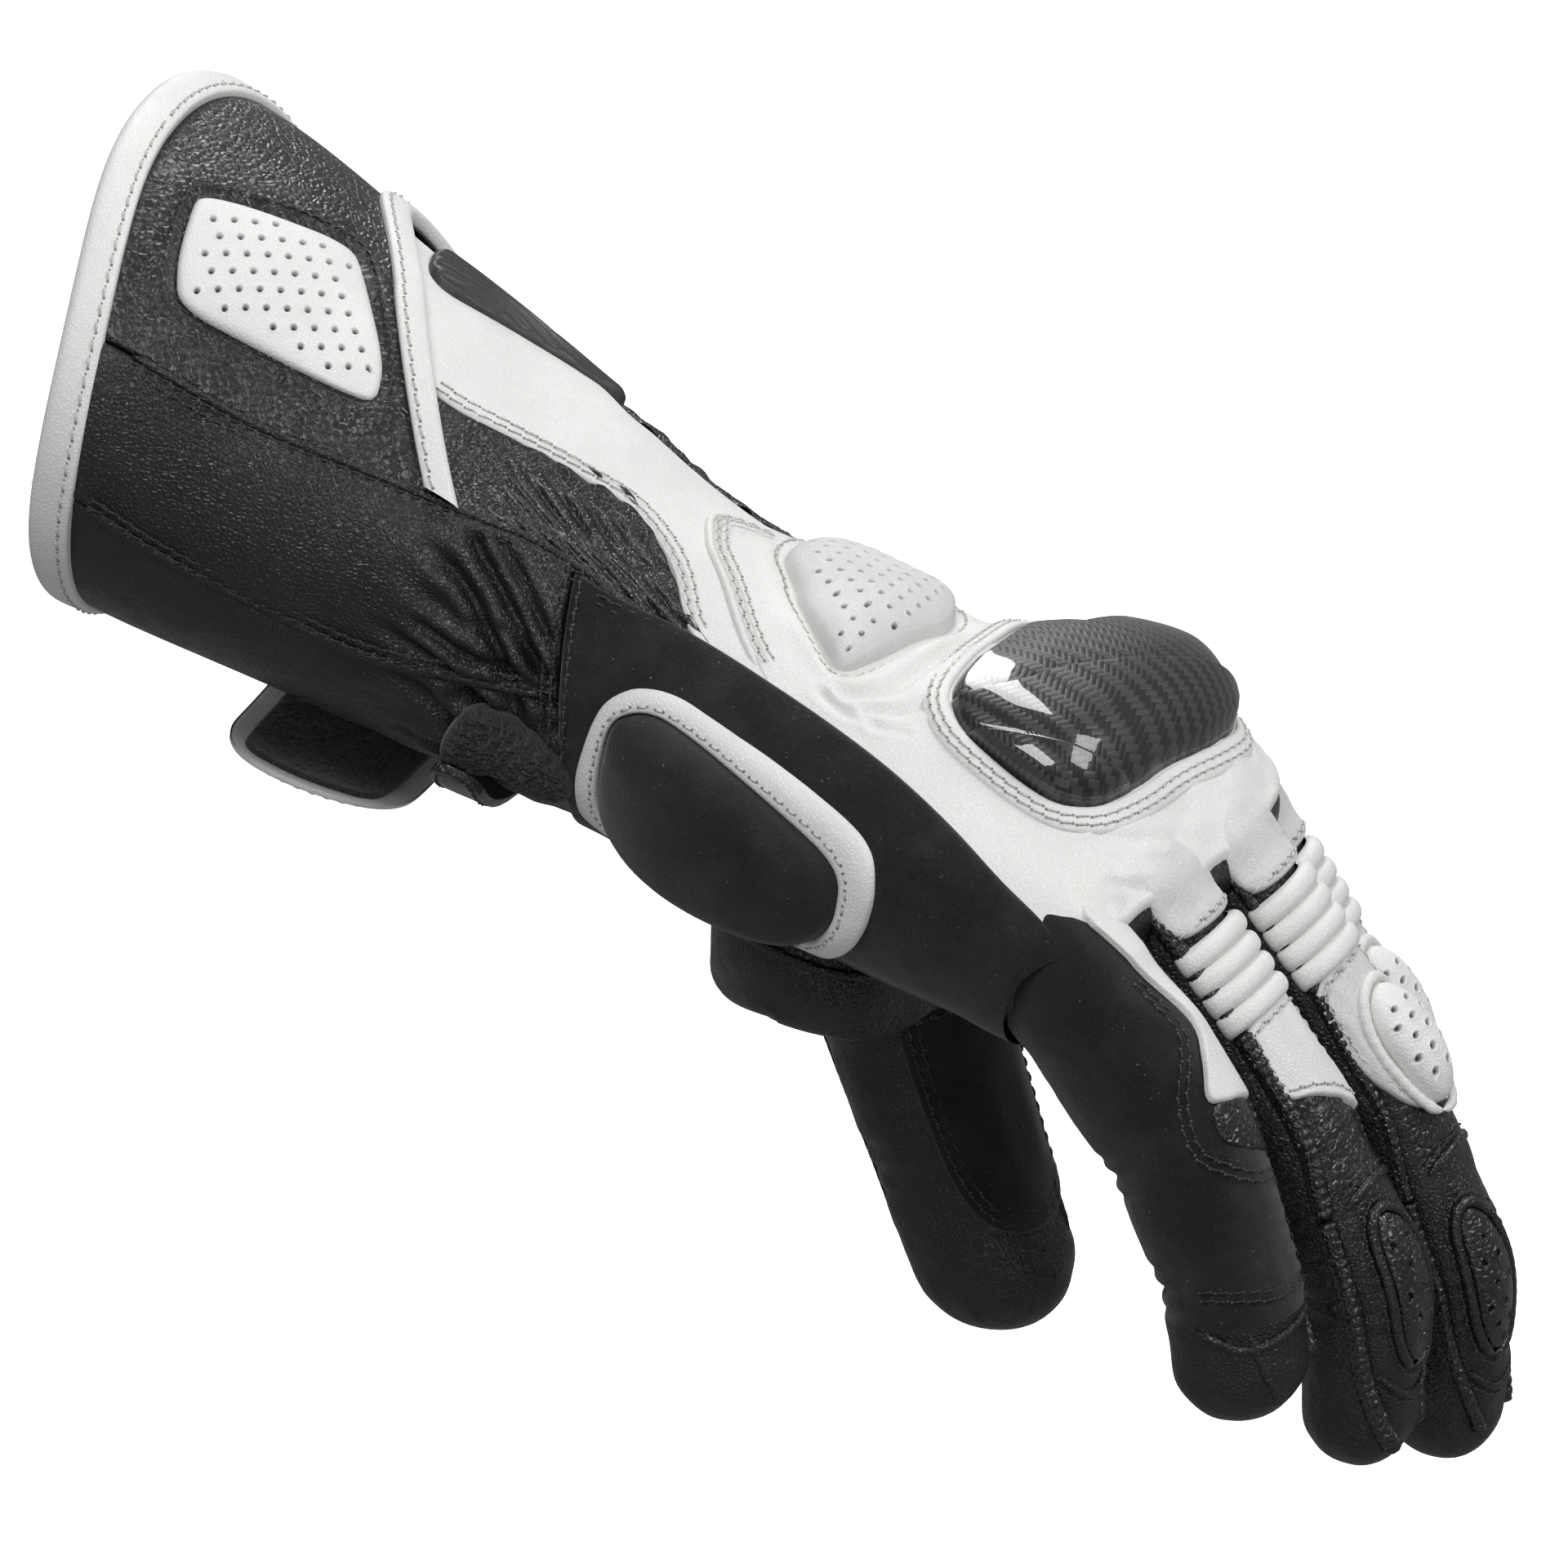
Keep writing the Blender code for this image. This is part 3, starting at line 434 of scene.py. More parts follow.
def panel(
    name, finish, x_from, x_to, a_from, a_to, step=0.9, lift=0.0, drop=1.5, relief=None,
    edges="abcd"
):
    """A leather panel between four seams, its edges turned under.

    x_from and x_to give distances for an angle, a_from and a_to give angles for a distance.
    edges names the sides that are turned: a near, b far, c first angle, d last angle.
    """
    middle = (a_from(110.0) + a_to(110.0)) / 2
    length = float(np.mean(x_to(middle) - x_from(middle)))
    far = float(np.mean(x_from(middle) + x_to(middle))) / 2
    width = float(np.mean(a_to(far) - a_from(far))) * ARC
    t = spaced(length, step)[:, None]
    u = spaced(width, step)[None, :]
    x = np.full((t.size, u.size), far)
    for _ in range(6):
        a = a_from(x) * (1 - u) + a_to(x) * u
        x = x_from(a) * (1 - t) + x_to(a) * t
    wide = (a_to(x) - a_from(x)) * ARC
    long = x_to(a) - x_from(a)
    gaps = {"a": t * long, "b": (1 - t) * long, "c": u * wide, "d": (1 - u) * wide}
    near = np.full(x.shape, 9.0)
    for side in edges:
        near = np.minimum(near, gaps[side])
    base = lift(x, a) if callable(lift) else lift
    offset = base - drop * (1 - rolled(near))
    extra = relief(x, a) if relief else 0.0
    offset = offset + extra * ease(near / 2.5)
    return skin(name, glove(x, a, offset), finish)


def rounded_outline(corners, count, cuts=3, arc=ARC):
    """An evenly spaced closed outline: its corners are cut off, and the new corners again."""
    loop = np.asarray(corners, float)
    for _ in range(cuts):
        ahead = np.roll(loop, -1, axis=0)
        loop = (
            np.stack(
                [0.78 * loop + 0.22 * ahead, 0.22 * loop + 0.78 * ahead], axis=1
            ).reshape(-1, 2)
        )
    loop = np.vstack([loop, loop[:1]])
    travelled = np.concatenate([[0], np.cumsum(np.hypot(*(np.diff(loop, axis=0) * (1.0, arc)).T))])
    wanted = np.linspace(0, travelled[-1], count, endpoint=False)
    return np.stack([np.interp(wanted, travelled, loop[:, k]) for k in (0, 1)], axis=1)


def patch(
    name, finish, place, corners, height, half=40, arc=ARC, drop=1.2, roll=1.0, relief=None,
    scale=1.0, holes=None, weave=False, centre=None, turned=False, cuts=3
):
    """A pad or patch inside a closed outline on a surface.

    A square grid is drawn in rings on the outline: the ring at fraction f is the outline shrunk
    to f about its middle. height is the offset, as a number or a function of f, and the last
    millimetres roll under.
    holes lists hole middles as (distance, angle) with a radius: each is a round pit, darkened by
    painted shade kept in the shade values.
    """
    rim = rounded_outline(corners, 720, cuts=cuts, arc=arc)
    middle = rim.mean(axis=0) if centre is None else np.asarray(centre, float)
    span = np.hypot(*((rim - middle) * (1.0, arc)).T)
    edge = np.array((2.4, 1.7, 1.15, 0.75, 0.45, 0.2, 0.0))
    outer = 1 - edge / span.mean()
    inner = np.linspace(0, outer[0], half - len(edge) + 2)[:-1]
    line = np.concatenate([inner, outer])
    line = np.concatenate([-line[:0:-1], line])
    p, q = np.meshgrid(line, line, indexing="ij")
    f = np.maximum(np.abs(p), np.abs(q))
    safe = np.maximum(f, 1e-9)
    by_p = np.where(p >= 0, q / safe, 4 - q / safe)
    by_q = np.where(q >= 0, 2 - p / safe, 6 + p / safe)
    turn = np.where(np.abs(p) >= np.abs(q), by_p, by_q)
    t = (turn / 8 * 720) % 720
    k = np.floor(t).astype(int)
    w = (t - k)[..., None]
    on_rim = rim[k % 720] * (1 - w) + rim[(k + 1) % 720] * w
    flat = middle + (on_rim - middle) * f[..., None] * scale
    near = (1 - f) * np.hypot(*np.moveaxis((on_rim - middle) * (1.0, arc), -1, 0))
    offset = (height(f) if callable(height) else height) - drop * (1 - rolled(near, roll))
    if relief:
        offset = offset + relief(flat[..., 0], flat[..., 1]) * ease(near / 2)
    shade = np.zeros_like(f)
    if holes is not None:
        spots, radius, depth = holes
        for x, a in spots:
            away = np.hypot(flat[..., 0] - x, (flat[..., 1] - a) * arc)
            pit = np.exp(-((away / radius) ** 4))
            offset = offset - depth * pit + 0.12 * np.exp(
                -(((away - 1.5 * radius) / (0.5 * radius)) ** 2)
            )
            # Painted shade: how dark each pit is painted is kept in the shade values that its
            # finish reads.
            shade = np.maximum(shade, pit)
    points = place(flat[..., 0], flat[..., 1], offset)
    uv = flat * (1.0, arc) if weave else None
    return skin(name, points, finish, turned=(area_sign(rim) < 0) != turned, uv=uv, shade=shade)


def area_sign(loop):
    """Twice a closed outline's area, negative when it runs the other way round."""
    x, y = loop[:, 0], loop[:, 1]
    return float(np.sum(x * np.roll(y, -1) - y * np.roll(x, -1)))


def through(line, per=14):
    """A smooth line through its points, Catmull-Rom."""
    line = np.asarray(line, float)
    t = np.arange(len(line))
    fine = np.linspace(0, len(line) - 1, (len(line) - 1) * per + 1)
    return np.stack(
        [smooth_between(fine, np.stack([t, line[:, k]], axis=1)) for k in range(line.shape[1])],
        axis=1
    )


def trace(place, line, offset=0.0, step=0.6, closed=False, smooth=True):
    """Even points, outward normals and surface places along a line drawn on a surface."""
    line = np.asarray(line, float)
    fine = through(line) if smooth else line
    if closed:
        fine = np.vstack([line, line[:1]])
    rough = place(fine[:, 0], fine[:, 1], offset)
    travelled = np.concatenate([[0], np.cumsum(np.linalg.norm(np.diff(rough, axis=0), axis=1))])
    wanted = np.linspace(0, travelled[-1], max(3, int(travelled[-1] / step)))
    flat = np.stack([np.interp(wanted, travelled, fine[:, k]) for k in (0, 1)], axis=1)
    points = place(flat[:, 0], flat[:, 1], offset)
    normals = unit(place(flat[:, 0], flat[:, 1], offset + 1.0) - points)
    return points, normals, flat


def sideways(points, normals, amount):
    """The line moved sideways on its surface."""
    ahead = unit(np.gradient(points, axis=0))
    return points + np.cross(normals, ahead) * amount


class Sewing:
    """Collects the small shapes of each body and finish, so that each becomes one piece."""

    def __init__(self):
        self.kept = {}

    def keep(self, key, finish, points, faces):
        """Adds points and faces to the piece of this key and finish."""
        points = np.asarray(points).reshape(-1, 3)
        store = self.kept.setdefault((key, finish), [0, [], []])
        store[1].append(points)
        store[2].append(np.asarray(faces) + store[0])
        store[0] += len(points)

    def stitches(
        self, key, finish, points, normals, length=2.0, gap=0.95, radius=0.27, keys=None,
        slant=0.12
    ):
        """A row of stitches: short rounded strands, raised in the middle and sunk at both ends,
        with a disc of painted shade at each end.
        """
        travelled = np.concatenate(
            [[0], np.cumsum(np.linalg.norm(np.diff(points, axis=0), axis=1))]
        )
        count = max(1, int(travelled[-1] / (length + gap)))
        pitch = travelled[-1] / count
        starts = (np.arange(count) + 0.5) * pitch

        def at(values, where):
            return np.stack([np.interp(where, travelled, values[:, k]) for k in range(3)], axis=1)

        middle = at(points, starts)
        ahead = unit(at(points, starts + length / 2) - at(points, starts - length / 2))
        up = unit(at(normals, starts))
        side = np.cross(up, ahead)
        ahead = unit(ahead + slant * side)
        side = np.cross(up, ahead)
        u = np.array((-1.0, -0.75, 0.0, 0.75, 1.0))[:, None]
        turn = np.radians(np.arange(6) * 60.0)[None, :]
        thick = radius * np.array((0.25, 0.8, 1.0, 0.8, 0.25))[:, None]
        rise = radius * (0.95 - 1.5 * u**4)
        along = u * length / 2
        out = thick * np.cos(turn)
        high = thick * np.sin(turn) + rise
        shape = (
            middle[:, None, None, :]
            + along[None, ..., None] * ahead[:, None, None, :]
            + out[None, ..., None] * side[:, None, None, :]
            + high[None, ..., None] * up[:, None, None, :]
        )
        ring = np.arange(30).reshape(5, 6)
        beyond = np.roll(ring, -1, axis=1)
        quads = np.stack([ring[:-1], ring[1:], beyond[1:], beyond[:-1]], axis=-1).reshape(-1, 4)
        self.many(key, finish, shape.reshape(count, -1, 3), quads, starts / travelled[-1], keys)
        # Painted shade: a small disc at each end of a stitch where the thread sinks in, grey beside
        # white thread and near black beside black thread.
        hole_shade_finish = "pale_needle_hole" if finish == "white_thread" else "needle_hole"
        cos, sin = np.cos(turn)[0, :, None], np.sin(turn)[0, :, None]
        hole = cos * ahead[:, None, :] + sin * side[:, None, :]
        caps = np.array([[0, 1, 2, 3], [0, 3, 4, 5]])
        for end in (-1, 1):
            at_end = middle + end * (length / 2 + 0.1) * ahead + 0.04 * up
            disc = at_end[:, None, :] + 1.45 * radius * hole
            self.many(key, hole_shade_finish, disc, caps, starts / travelled[-1], keys)

    def many(self, key, finish, shapes, quads, where, keys):
        """Adds many equal shapes, each to the key of its place along the row."""
        size = shapes.shape[1]
        names = np.array([key] * len(shapes)) if keys is None else keys(where)
        for name in sorted(set(names.tolist())):
            chosen = shapes[names == name]
            faces = quads[None] + (np.arange(len(chosen)) * size)[:, None, None]
            self.keep(name, finish, chosen, faces.reshape(-1, 4))

    def cord(
        self, key, finish, points, normals, width, height, whip=0.0, pitch=2.2, sides=8, taper=3.0
    ):
        """A raised seam: a half round carried along a line, with whipped ripples across it."""
        travelled = np.concatenate(
            [[0], np.cumsum(np.linalg.norm(np.diff(points, axis=0), axis=1))]
        )
        ahead = unit(np.gradient(points, axis=0))
        side = np.cross(normals, ahead)
        turn = np.radians(np.linspace(0, 360, sides, endpoint=False))
        ripple = 1 + whip * (np.abs(np.sin(np.pi * travelled / pitch)) - 0.5)
        ends = np.minimum(travelled, travelled[-1] - travelled)
        thin = np.sqrt(np.clip(ends / taper, 0.02, 1))
        size = (ripple * thin)[:, None, None]
        ring = (
            points[:, None, :]
            + size * width * np.cos(turn)[None, :, None] * side[:, None, :]
            + size * height * np.sin(turn)[None, :, None] * normals[:, None, :]
        )
        number = np.arange(len(points) * sides).reshape(len(points), sides)
        beyond = np.roll(number, -1, axis=1)
        quads = (
            np.stack([number[:-1], number[1:], beyond[1:], beyond[:-1]], axis=-1).reshape(-1, 4)
        )
        self.keep(key, finish, ring, quads)

    def build(self):
        """Makes one piece of each key and finish, in the order in which they were first sewn."""
        for (key, finish), (_, points, faces) in self.kept.items():
            faces = np.concatenate(faces).tolist()
            settle(piece_of(key + "_" + finish, np.concatenate(points), faces, finish), key)


SEWN = Sewing()


def joint_span(name, k, reach):
    """Start and end of the bend about a finger's joint k, along the bones that meet there."""
    knuckle, yaw, lengths, pitches, *_ = FINGERS[name]
    w = math.radians(yaw)
    ways = []
    for pitch in pitches:
        p = math.radians(pitch)
        ways.append(np.array((math.cos(p) * math.cos(w), math.cos(p) * math.sin(w), -math.sin(p))))
    at = np.array(knuckle, float)
    for j in range(k):
        at = at + ways[j] * lengths[j]
    way = unit(ways[k] + (ways[k - 1] if k else np.array((1.0, 0, 0))))
    return tuple((at - way * reach) * MM), tuple((at + way * reach) * MM)


# What bends where: the bodies on both sides, and where the bend starts and ends.
BENDS = {"wrist": ("gauntlet", "hand", *WRIST_BEND)}
for _name, _spec in FINGERS.items():
    _reach = 8.0 if _name == "little" else 10.0
    BENDS[_name + "_root"] = ("hand", _name + "_base", *joint_span(_name, 0, _reach + 2))
    BENDS[_name + "_middle"] = (_name + "_base", _name + "_mid", *joint_span(_name, 1, _reach))
    BENDS[_name + "_end"] = (_name + "_mid", _name + "_tip", *joint_span(_name, 2, _reach))
_along = thumb_frame()[0]
BENDS["thumb_root"] = (
    "hand", "thumb_base", tuple((THUMB_ROOT - 14 * _along) * MM),
    tuple((THUMB_ROOT + 14 * _along) * MM)
)
_bend = THUMB_ROOT + THUMB_BONES[0] * _along
BENDS["thumb_end"] = (
    "thumb_base", "thumb_tip", tuple((_bend - 13 * _along) * MM), tuple((_bend + 13 * _along) * MM)
)


def settle(piece, key, stands_for=()):
    """Fixes a piece in place when its key names a bend, else ties it to that body, and hides the
    solids it stands for.
    """
    if key in BENDS:
        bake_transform(piece)
    else:
        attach(piece, key)
    if stands_for:
        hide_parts(*stands_for)
    return piece


def finger_keys(name):
    """Which stretch of a finger a distance belongs to, split halfway along its bones."""
    lengths = FINGERS[name][2]
    first, second = lengths[0] / 2, lengths[0] + lengths[1] / 2

    def key(s):
        s = np.asarray(s, float)
        return np.where(
            s < first, name + "_root", np.where(s < second, name + "_middle", name + "_end")
        )

    return key, (first, second)


# Finishes


class Finish:
    """A procedural finish on object coordinates, built up node by node."""

    def __init__(self, name):
        self.material = bpy.data.materials.new(name)
        self.material.use_nodes = True
        self.tree = self.material.node_tree
        self.shader = self.tree.nodes["Principled BSDF"]
        self.place = self.node("ShaderNodeTexCoord").outputs["Object"]

    def node(self, kind, **settings):
        made = self.tree.nodes.new(kind)
        for key, value in settings.items():
            setattr(made, key, value)
        return made

    def put(self, socket, value):
        if hasattr(value, "is_linked") or hasattr(value, "links"):
            self.tree.links.new(value, socket)
        else:
            socket.default_value = value

    def set(self, **values):
        for key, value in values.items():
            self.put(self.shader.inputs[key.replace("_", " ")], value)

    def scaled(self, scale):
        made = self.node("ShaderNodeMapping")
        made.inputs["Scale"].default_value = scale
        self.put(made.inputs["Vector"], self.place)
        return made.outputs["Vector"]

    def noise(self, size, detail=3.0, rough=0.55, place=None, distort=0.0):
        made = self.node("ShaderNodeTexNoise")
        made.inputs["Scale"].default_value = 1000.0 / size
        made.inputs["Detail"].default_value = detail
        made.inputs["Roughness"].default_value = rough
        made.inputs["Distortion"].default_value = distort
        self.put(made.inputs["Vector"], place or self.place)
        return made.outputs["Fac"]

    def cells(self, size, feature="DISTANCE_TO_EDGE", place=None, random=1.0):
        made = self.node("ShaderNodeTexVoronoi", feature=feature)
        made.inputs["Scale"].default_value = 1000.0 / size
        made.inputs["Randomness"].default_value = random
        self.put(made.inputs["Vector"], place or self.place)
        return made.outputs["Distance"]

    def range(self, value, low, high, start=0.0, end=1.0, smooth=True):
        made = self.node(
            "ShaderNodeMapRange", interpolation_type="SMOOTHSTEP" if smooth else "LINEAR"
        )
        for key, v in (("From Min", low), ("From Max", high), ("To Min", start), ("To Max", end)):
            made.inputs[key].default_value = v
        self.put(made.inputs["Value"], value)
        return made.outputs["Result"]

    def math(self, operation, a, b=0.0, c=0.0):
        made = self.node("ShaderNodeMath", operation=operation)
        for k, value in enumerate((a, b, c)):
            self.put(made.inputs[k], value)
        return made.outputs[0]

    def mix(self, factor, a, b):
        made = self.node("ShaderNodeMix", data_type="RGBA")
        self.put(made.inputs["Factor"], factor)
        for socket, value in (("A", a), ("B", b)):
            found = [s for s in made.inputs if s.name == socket and s.type == "RGBA"][0]
            self.put(found, value if not isinstance(value, tuple) else (*value[:3], 1.0))
        return [s for s in made.outputs if s.type == "RGBA"][0]

    def shade(self):
        made = self.node("ShaderNodeAttribute", attribute_name="shade")
        return made.outputs["Fac"]

    def bump(self, height, depth, strength=1.0, under=None):
        made = self.node("ShaderNodeBump")
        made.inputs["Strength"].default_value = strength
        made.inputs["Distance"].default_value = depth * MM
        self.put(made.inputs["Height"], height)
        if under is not None:
            self.put(made.inputs["Normal"], under)
        return made.outputs["Normal"]


FINISHES = {}


def grained_leather(
    name, dark, light, grain, depth, rough=(0.36, 0.52), coat=0.0, painted_hollow_shade=(0.004, 0.004, 0.004),
    gloss=0.4
):
    """Leather: rounded grain cells over a soft unevenness, with painted shade darkening the hollows
    between the cells.
    """
    made = Finish(name)
    warped = made.node("ShaderNodeVectorMath", operation="MULTIPLY_ADD")
    drift = made.node("ShaderNodeTexNoise")
    drift.inputs["Scale"].default_value = 1000.0 / (grain * 2.4)
    made.put(drift.inputs["Vector"], made.place)
    made.put(warped.inputs[0], drift.outputs["Color"])
    warped.inputs[1].default_value = (grain * MM * 0.9,) * 3
    made.put(warped.inputs[2], made.place)
    pebbles = made.range(made.cells(grain, place=warped.outputs[0]), 0.0, 0.32)
    patches = made.noise(16.0, 3.0)
    colour = made.mix(made.range(patches, 0.3, 0.7), dark, light)
    # Painted shade: the hollows between the grain cells are darkened.
    colour = made.mix(made.range(pebbles, 0.0, 0.45, 0.55, 0.0), colour, painted_hollow_shade)
    # Painted shade in the perforation pits, read from the shade values.
    colour = made.mix(made.shade(), colour, (0.006, 0.006, 0.006))
    made.set(
        Base_Color=colour, Roughness=made.range(made.noise(5.0), 0.3, 0.7, rough[0], rough[1])
    )
    made.shader.inputs["Specular IOR Level"].default_value = gloss
    made.shader.inputs["Coat Weight"].default_value = coat
    made.shader.inputs["Coat Roughness"].default_value = 0.25
    soft = made.bump(made.noise(7.0, 4.0, 0.6), 0.35, 0.6)
    small = made.bump(made.noise(0.35, 2.0), 0.035, 0.6, soft)
    made.set(Normal=made.bump(pebbles, depth, 1.0, small))
    FINISHES[name] = made.material


def white_leather(name, tone=(0.80, 0.80, 0.785), grain=0.85, depth=0.05, stretch=(1.0, 1.0, 1.0)):
    """White coated leather: a fine shallow grain, painted grey shade in its hollows and a little
    sheen.
    """
    made = Finish(name)
    place = made.scaled(stretch)
    grains = made.range(made.cells(grain, place=place), 0.0, 0.35)
    clouds = made.range(made.noise(22.0, 4.0), 0.3, 0.7)
    dull = tuple(0.93 * v for v in tone)
    colour = made.mix(clouds, dull, tone)
    # Painted shade: the hollows between the grain cells are greyed.
    colour = made.mix(made.range(grains, 0.0, 0.5, 0.16, 0.0), colour, (0.42, 0.42, 0.41))
    scuffs = made.range(made.noise(3.2, 5.0, 0.7), 0.62, 0.82, 0.0, 0.22)
    colour = made.mix(scuffs, colour, (0.62, 0.62, 0.61))
    # Painted shade in the perforation pits, read from the shade values.
    colour = made.mix(made.shade(), colour, (0.03, 0.03, 0.03))
    made.set(Base_Color=colour, Roughness=made.range(made.noise(6.0), 0.3, 0.7, 0.42, 0.6))
    made.shader.inputs["Specular IOR Level"].default_value = 0.4
    made.shader.inputs["Subsurface Weight"].default_value = 0.05
    made.shader.inputs["Subsurface Radius"].default_value = (0.0006, 0.0006, 0.0006)
    soft = made.bump(made.noise(6.0, 4.0, 0.6), 0.22, 0.6)
    made.set(Normal=made.bump(grains, depth, 1.0, soft))
    FINISHES[name] = made.material


def napped_suede(name, dark=(0.011, 0.011, 0.0113), light=(0.022, 0.022, 0.0225)):
    """Suede: a dull short nap with brushed lighter patches and single bright fibres."""
    made = Finish(name)
    brushed = made.range(made.noise(14.0, 5.0, 0.6, distort=0.6), 0.35, 0.68)
    colour = made.mix(brushed, dark, light)
    nap = made.noise(0.55, 3.0, 0.7)
    colour = made.mix(made.range(nap, 0.52, 0.75, 0.0, 0.5), colour, (0.045, 0.045, 0.045))
    colour = made.mix(
        made.range(made.noise(0.8, 1.0), 0.74, 0.8, 0.0, 0.7), colour, (0.16, 0.16, 0.16)
    )
    made.set(Base_Color=colour)
    made.shader.inputs["Roughness"].default_value = 0.96
    made.shader.inputs["Specular IOR Level"].default_value = 0.15
    made.shader.inputs["Sheen Weight"].default_value = 0.25
    made.shader.inputs["Sheen Roughness"].default_value = 0.5
    made.set(Normal=made.bump(nap, 0.22, 0.9, made.bump(made.noise(4.0, 3.0), 0.3, 0.5)))
    FINISHES[name] = made.material


def carbon_twill(name, tow=1.0):
    """Carbon twill under clear lacquer: two strands over and two under, the upper ones made paler
    by a painted sheen, with painted shade between the strands.
    """
    made = Finish(name)
    grid = made.node("ShaderNodeUVMap", uv_map="weave").outputs["UV"]
    bent = made.node("ShaderNodeMapping")
    bent.inputs["Rotation"].default_value = (0, 0, math.radians(38))
    bent.inputs["Scale"].default_value = (1 / tow, 1 / tow, 1)
    made.put(bent.inputs["Vector"], grid)
    split = made.node("ShaderNodeSeparateXYZ")
    made.put(split.inputs[0], bent.outputs["Vector"])
    u, v = split.outputs["X"], split.outputs["Y"]
    step = made.math("SUBTRACT", made.math("FLOOR", u), made.math("FLOOR", v))
    turn = made.math("FLOORED_MODULO", step, 4.0)
    over = made.math("LESS_THAN", turn, 1.5)
    across = made.math("FRACT", v)
    other = made.math("FRACT", u)
    rim_u = made.math("MULTIPLY", across, made.math("SUBTRACT", 1.0, across))
    rim_v = made.math("MULTIPLY", other, made.math("SUBTRACT", 1.0, other))
    crown = made.node("ShaderNodeMix", data_type="FLOAT")
    made.put(crown.inputs[0], over)
    made.put(crown.inputs[2], rim_v)
    made.put(crown.inputs[3], rim_u)
    height = crown.outputs[0]
    fibres = made.node("ShaderNodeTexNoise")
    stretch = made.node("ShaderNodeMapping")
    stretch.inputs["Scale"].default_value = (0.5, 9.0, 1.0)
    made.put(stretch.inputs["Vector"], bent.outputs["Vector"])
    made.put(fibres.inputs["Vector"], stretch.outputs["Vector"])
    fibres.inputs["Scale"].default_value = 3.0
    # Painted sheen: the upper strands are lightened, in streaks along their fibres.
    lit = made.mix(fibres.outputs["Fac"], (0.008, 0.008, 0.0083), (0.075, 0.075, 0.077))
    colour = made.mix(over, (0.003, 0.003, 0.0033), lit)
    # Painted shade: each strand darkens towards its low edges, between the strands.
    colour = made.mix(made.range(height, 0.0, 0.06, 0.9, 0.0), colour, (0.002, 0.002, 0.002))
    made.set(Base_Color=colour)
    made.shader.inputs["Metallic"].default_value = 0.35
    made.shader.inputs["Roughness"].default_value = 0.42
    made.shader.inputs["Coat Weight"].default_value = 1.0
    made.shader.inputs["Coat Roughness"].default_value = 0.03
    made.shader.inputs["Coat IOR"].default_value = 1.55
    made.set(Normal=made.bump(height, 0.35, 0.8))
    FINISHES[name] = made.material


def plain(name, dark, light, rough, size=3.0, depth=0.05, sheen=0.0):
    """An even finish with fine speckled unevenness, for thread, rubber, lining and fuzz."""
    made = Finish(name)
    speckle = made.noise(size, 4.0, 0.65)
    made.set(Base_Color=made.mix(made.range(speckle, 0.35, 0.65), dark, light))
    made.set(Roughness=made.range(made.noise(size * 3), 0.3, 0.7, rough - 0.06, rough + 0.06))
    made.shader.inputs["Sheen Weight"].default_value = sheen
    made.set(Normal=made.bump(speckle, depth, 0.8))
    FINISHES[name] = made.material


def make_finishes():
    grained_leather(
        "pebbled_black_leather", (0.008, 0.008, 0.0083), (0.014, 0.014, 0.0145), 1.5, 0.2,
        (0.3, 0.44), gloss=0.55, coat=0.1
    )
    grained_leather(
        "glossy_black_leather", (0.006, 0.006, 0.0063), (0.011, 0.011, 0.0115), 1.4, 0.24,
        (0.22, 0.34), coat=0.25, gloss=0.6
    )
    grained_leather(
        "smooth_black_leather", (0.009, 0.009, 0.0093), (0.017, 0.017, 0.0175), 0.95, 0.14,
        (0.32, 0.46), painted_hollow_shade=(0.006, 0.006, 0.006), gloss=0.5
    )
    grained_leather(
        "soft_black_leather", (0.007, 0.007, 0.0073), (0.013, 0.013, 0.0135), 1.05, 0.14,
        (0.24, 0.38), coat=0.2, gloss=0.55
    )
    white_leather("white_leather")
    white_leather("white_pad_leather", (0.84, 0.84, 0.825), 0.75, 0.06)
    white_leather("white_textured_leather", (0.81, 0.81, 0.80), 0.55, 0.1, (1.0, 2.2, 1.6))
    white_leather("grey_white_leather", (0.74, 0.74, 0.73), 0.8, 0.05)
    napped_suede("black_suede")
    carbon_twill("carbon_twill")
    plain("trim_rubber", (0.02, 0.02, 0.021), (0.035, 0.035, 0.036), 0.5, 0.8, 0.03)
    plain("white_thread", (0.45, 0.45, 0.44), (0.68, 0.68, 0.66), 0.6, 0.3, 0.05)
    plain("black_thread", (0.012, 0.012, 0.012), (0.035, 0.035, 0.035), 0.5, 0.3, 0.05)
    # Painted shade for the dimples where the stitches sink into the leather.
    plain("pale_needle_hole", (0.16, 0.16, 0.155), (0.3, 0.3, 0.29), 0.9, 1.0)
    plain("needle_hole", (0.03, 0.03, 0.03), (0.09, 0.09, 0.088), 0.9, 1.0)
    plain("fuzz", (0.006, 0.006, 0.006), (0.045, 0.045, 0.046), 0.97, 0.45, 0.5, sheen=0.3)
    plain("lining_knit", (0.02, 0.02, 0.021), (0.05, 0.05, 0.052), 0.92, 0.7, 0.2, sheen=0.2)


make_finishes()


def repaint(piece, finish, mask):
    """Gives the chosen faces of a piece a second finish."""
    piece.data.materials.append(FINISHES[finish])
    index = np.zeros(len(piece.data.polygons), np.int32)
    piece.data.polygons.foreach_get("material_index", index)
    flat = np.zeros(len(index), bool)
    flat[: mask.size] = mask.ravel()
    index[flat] = len(piece.data.materials) - 1
    piece.data.polygons.foreach_set("material_index", index)


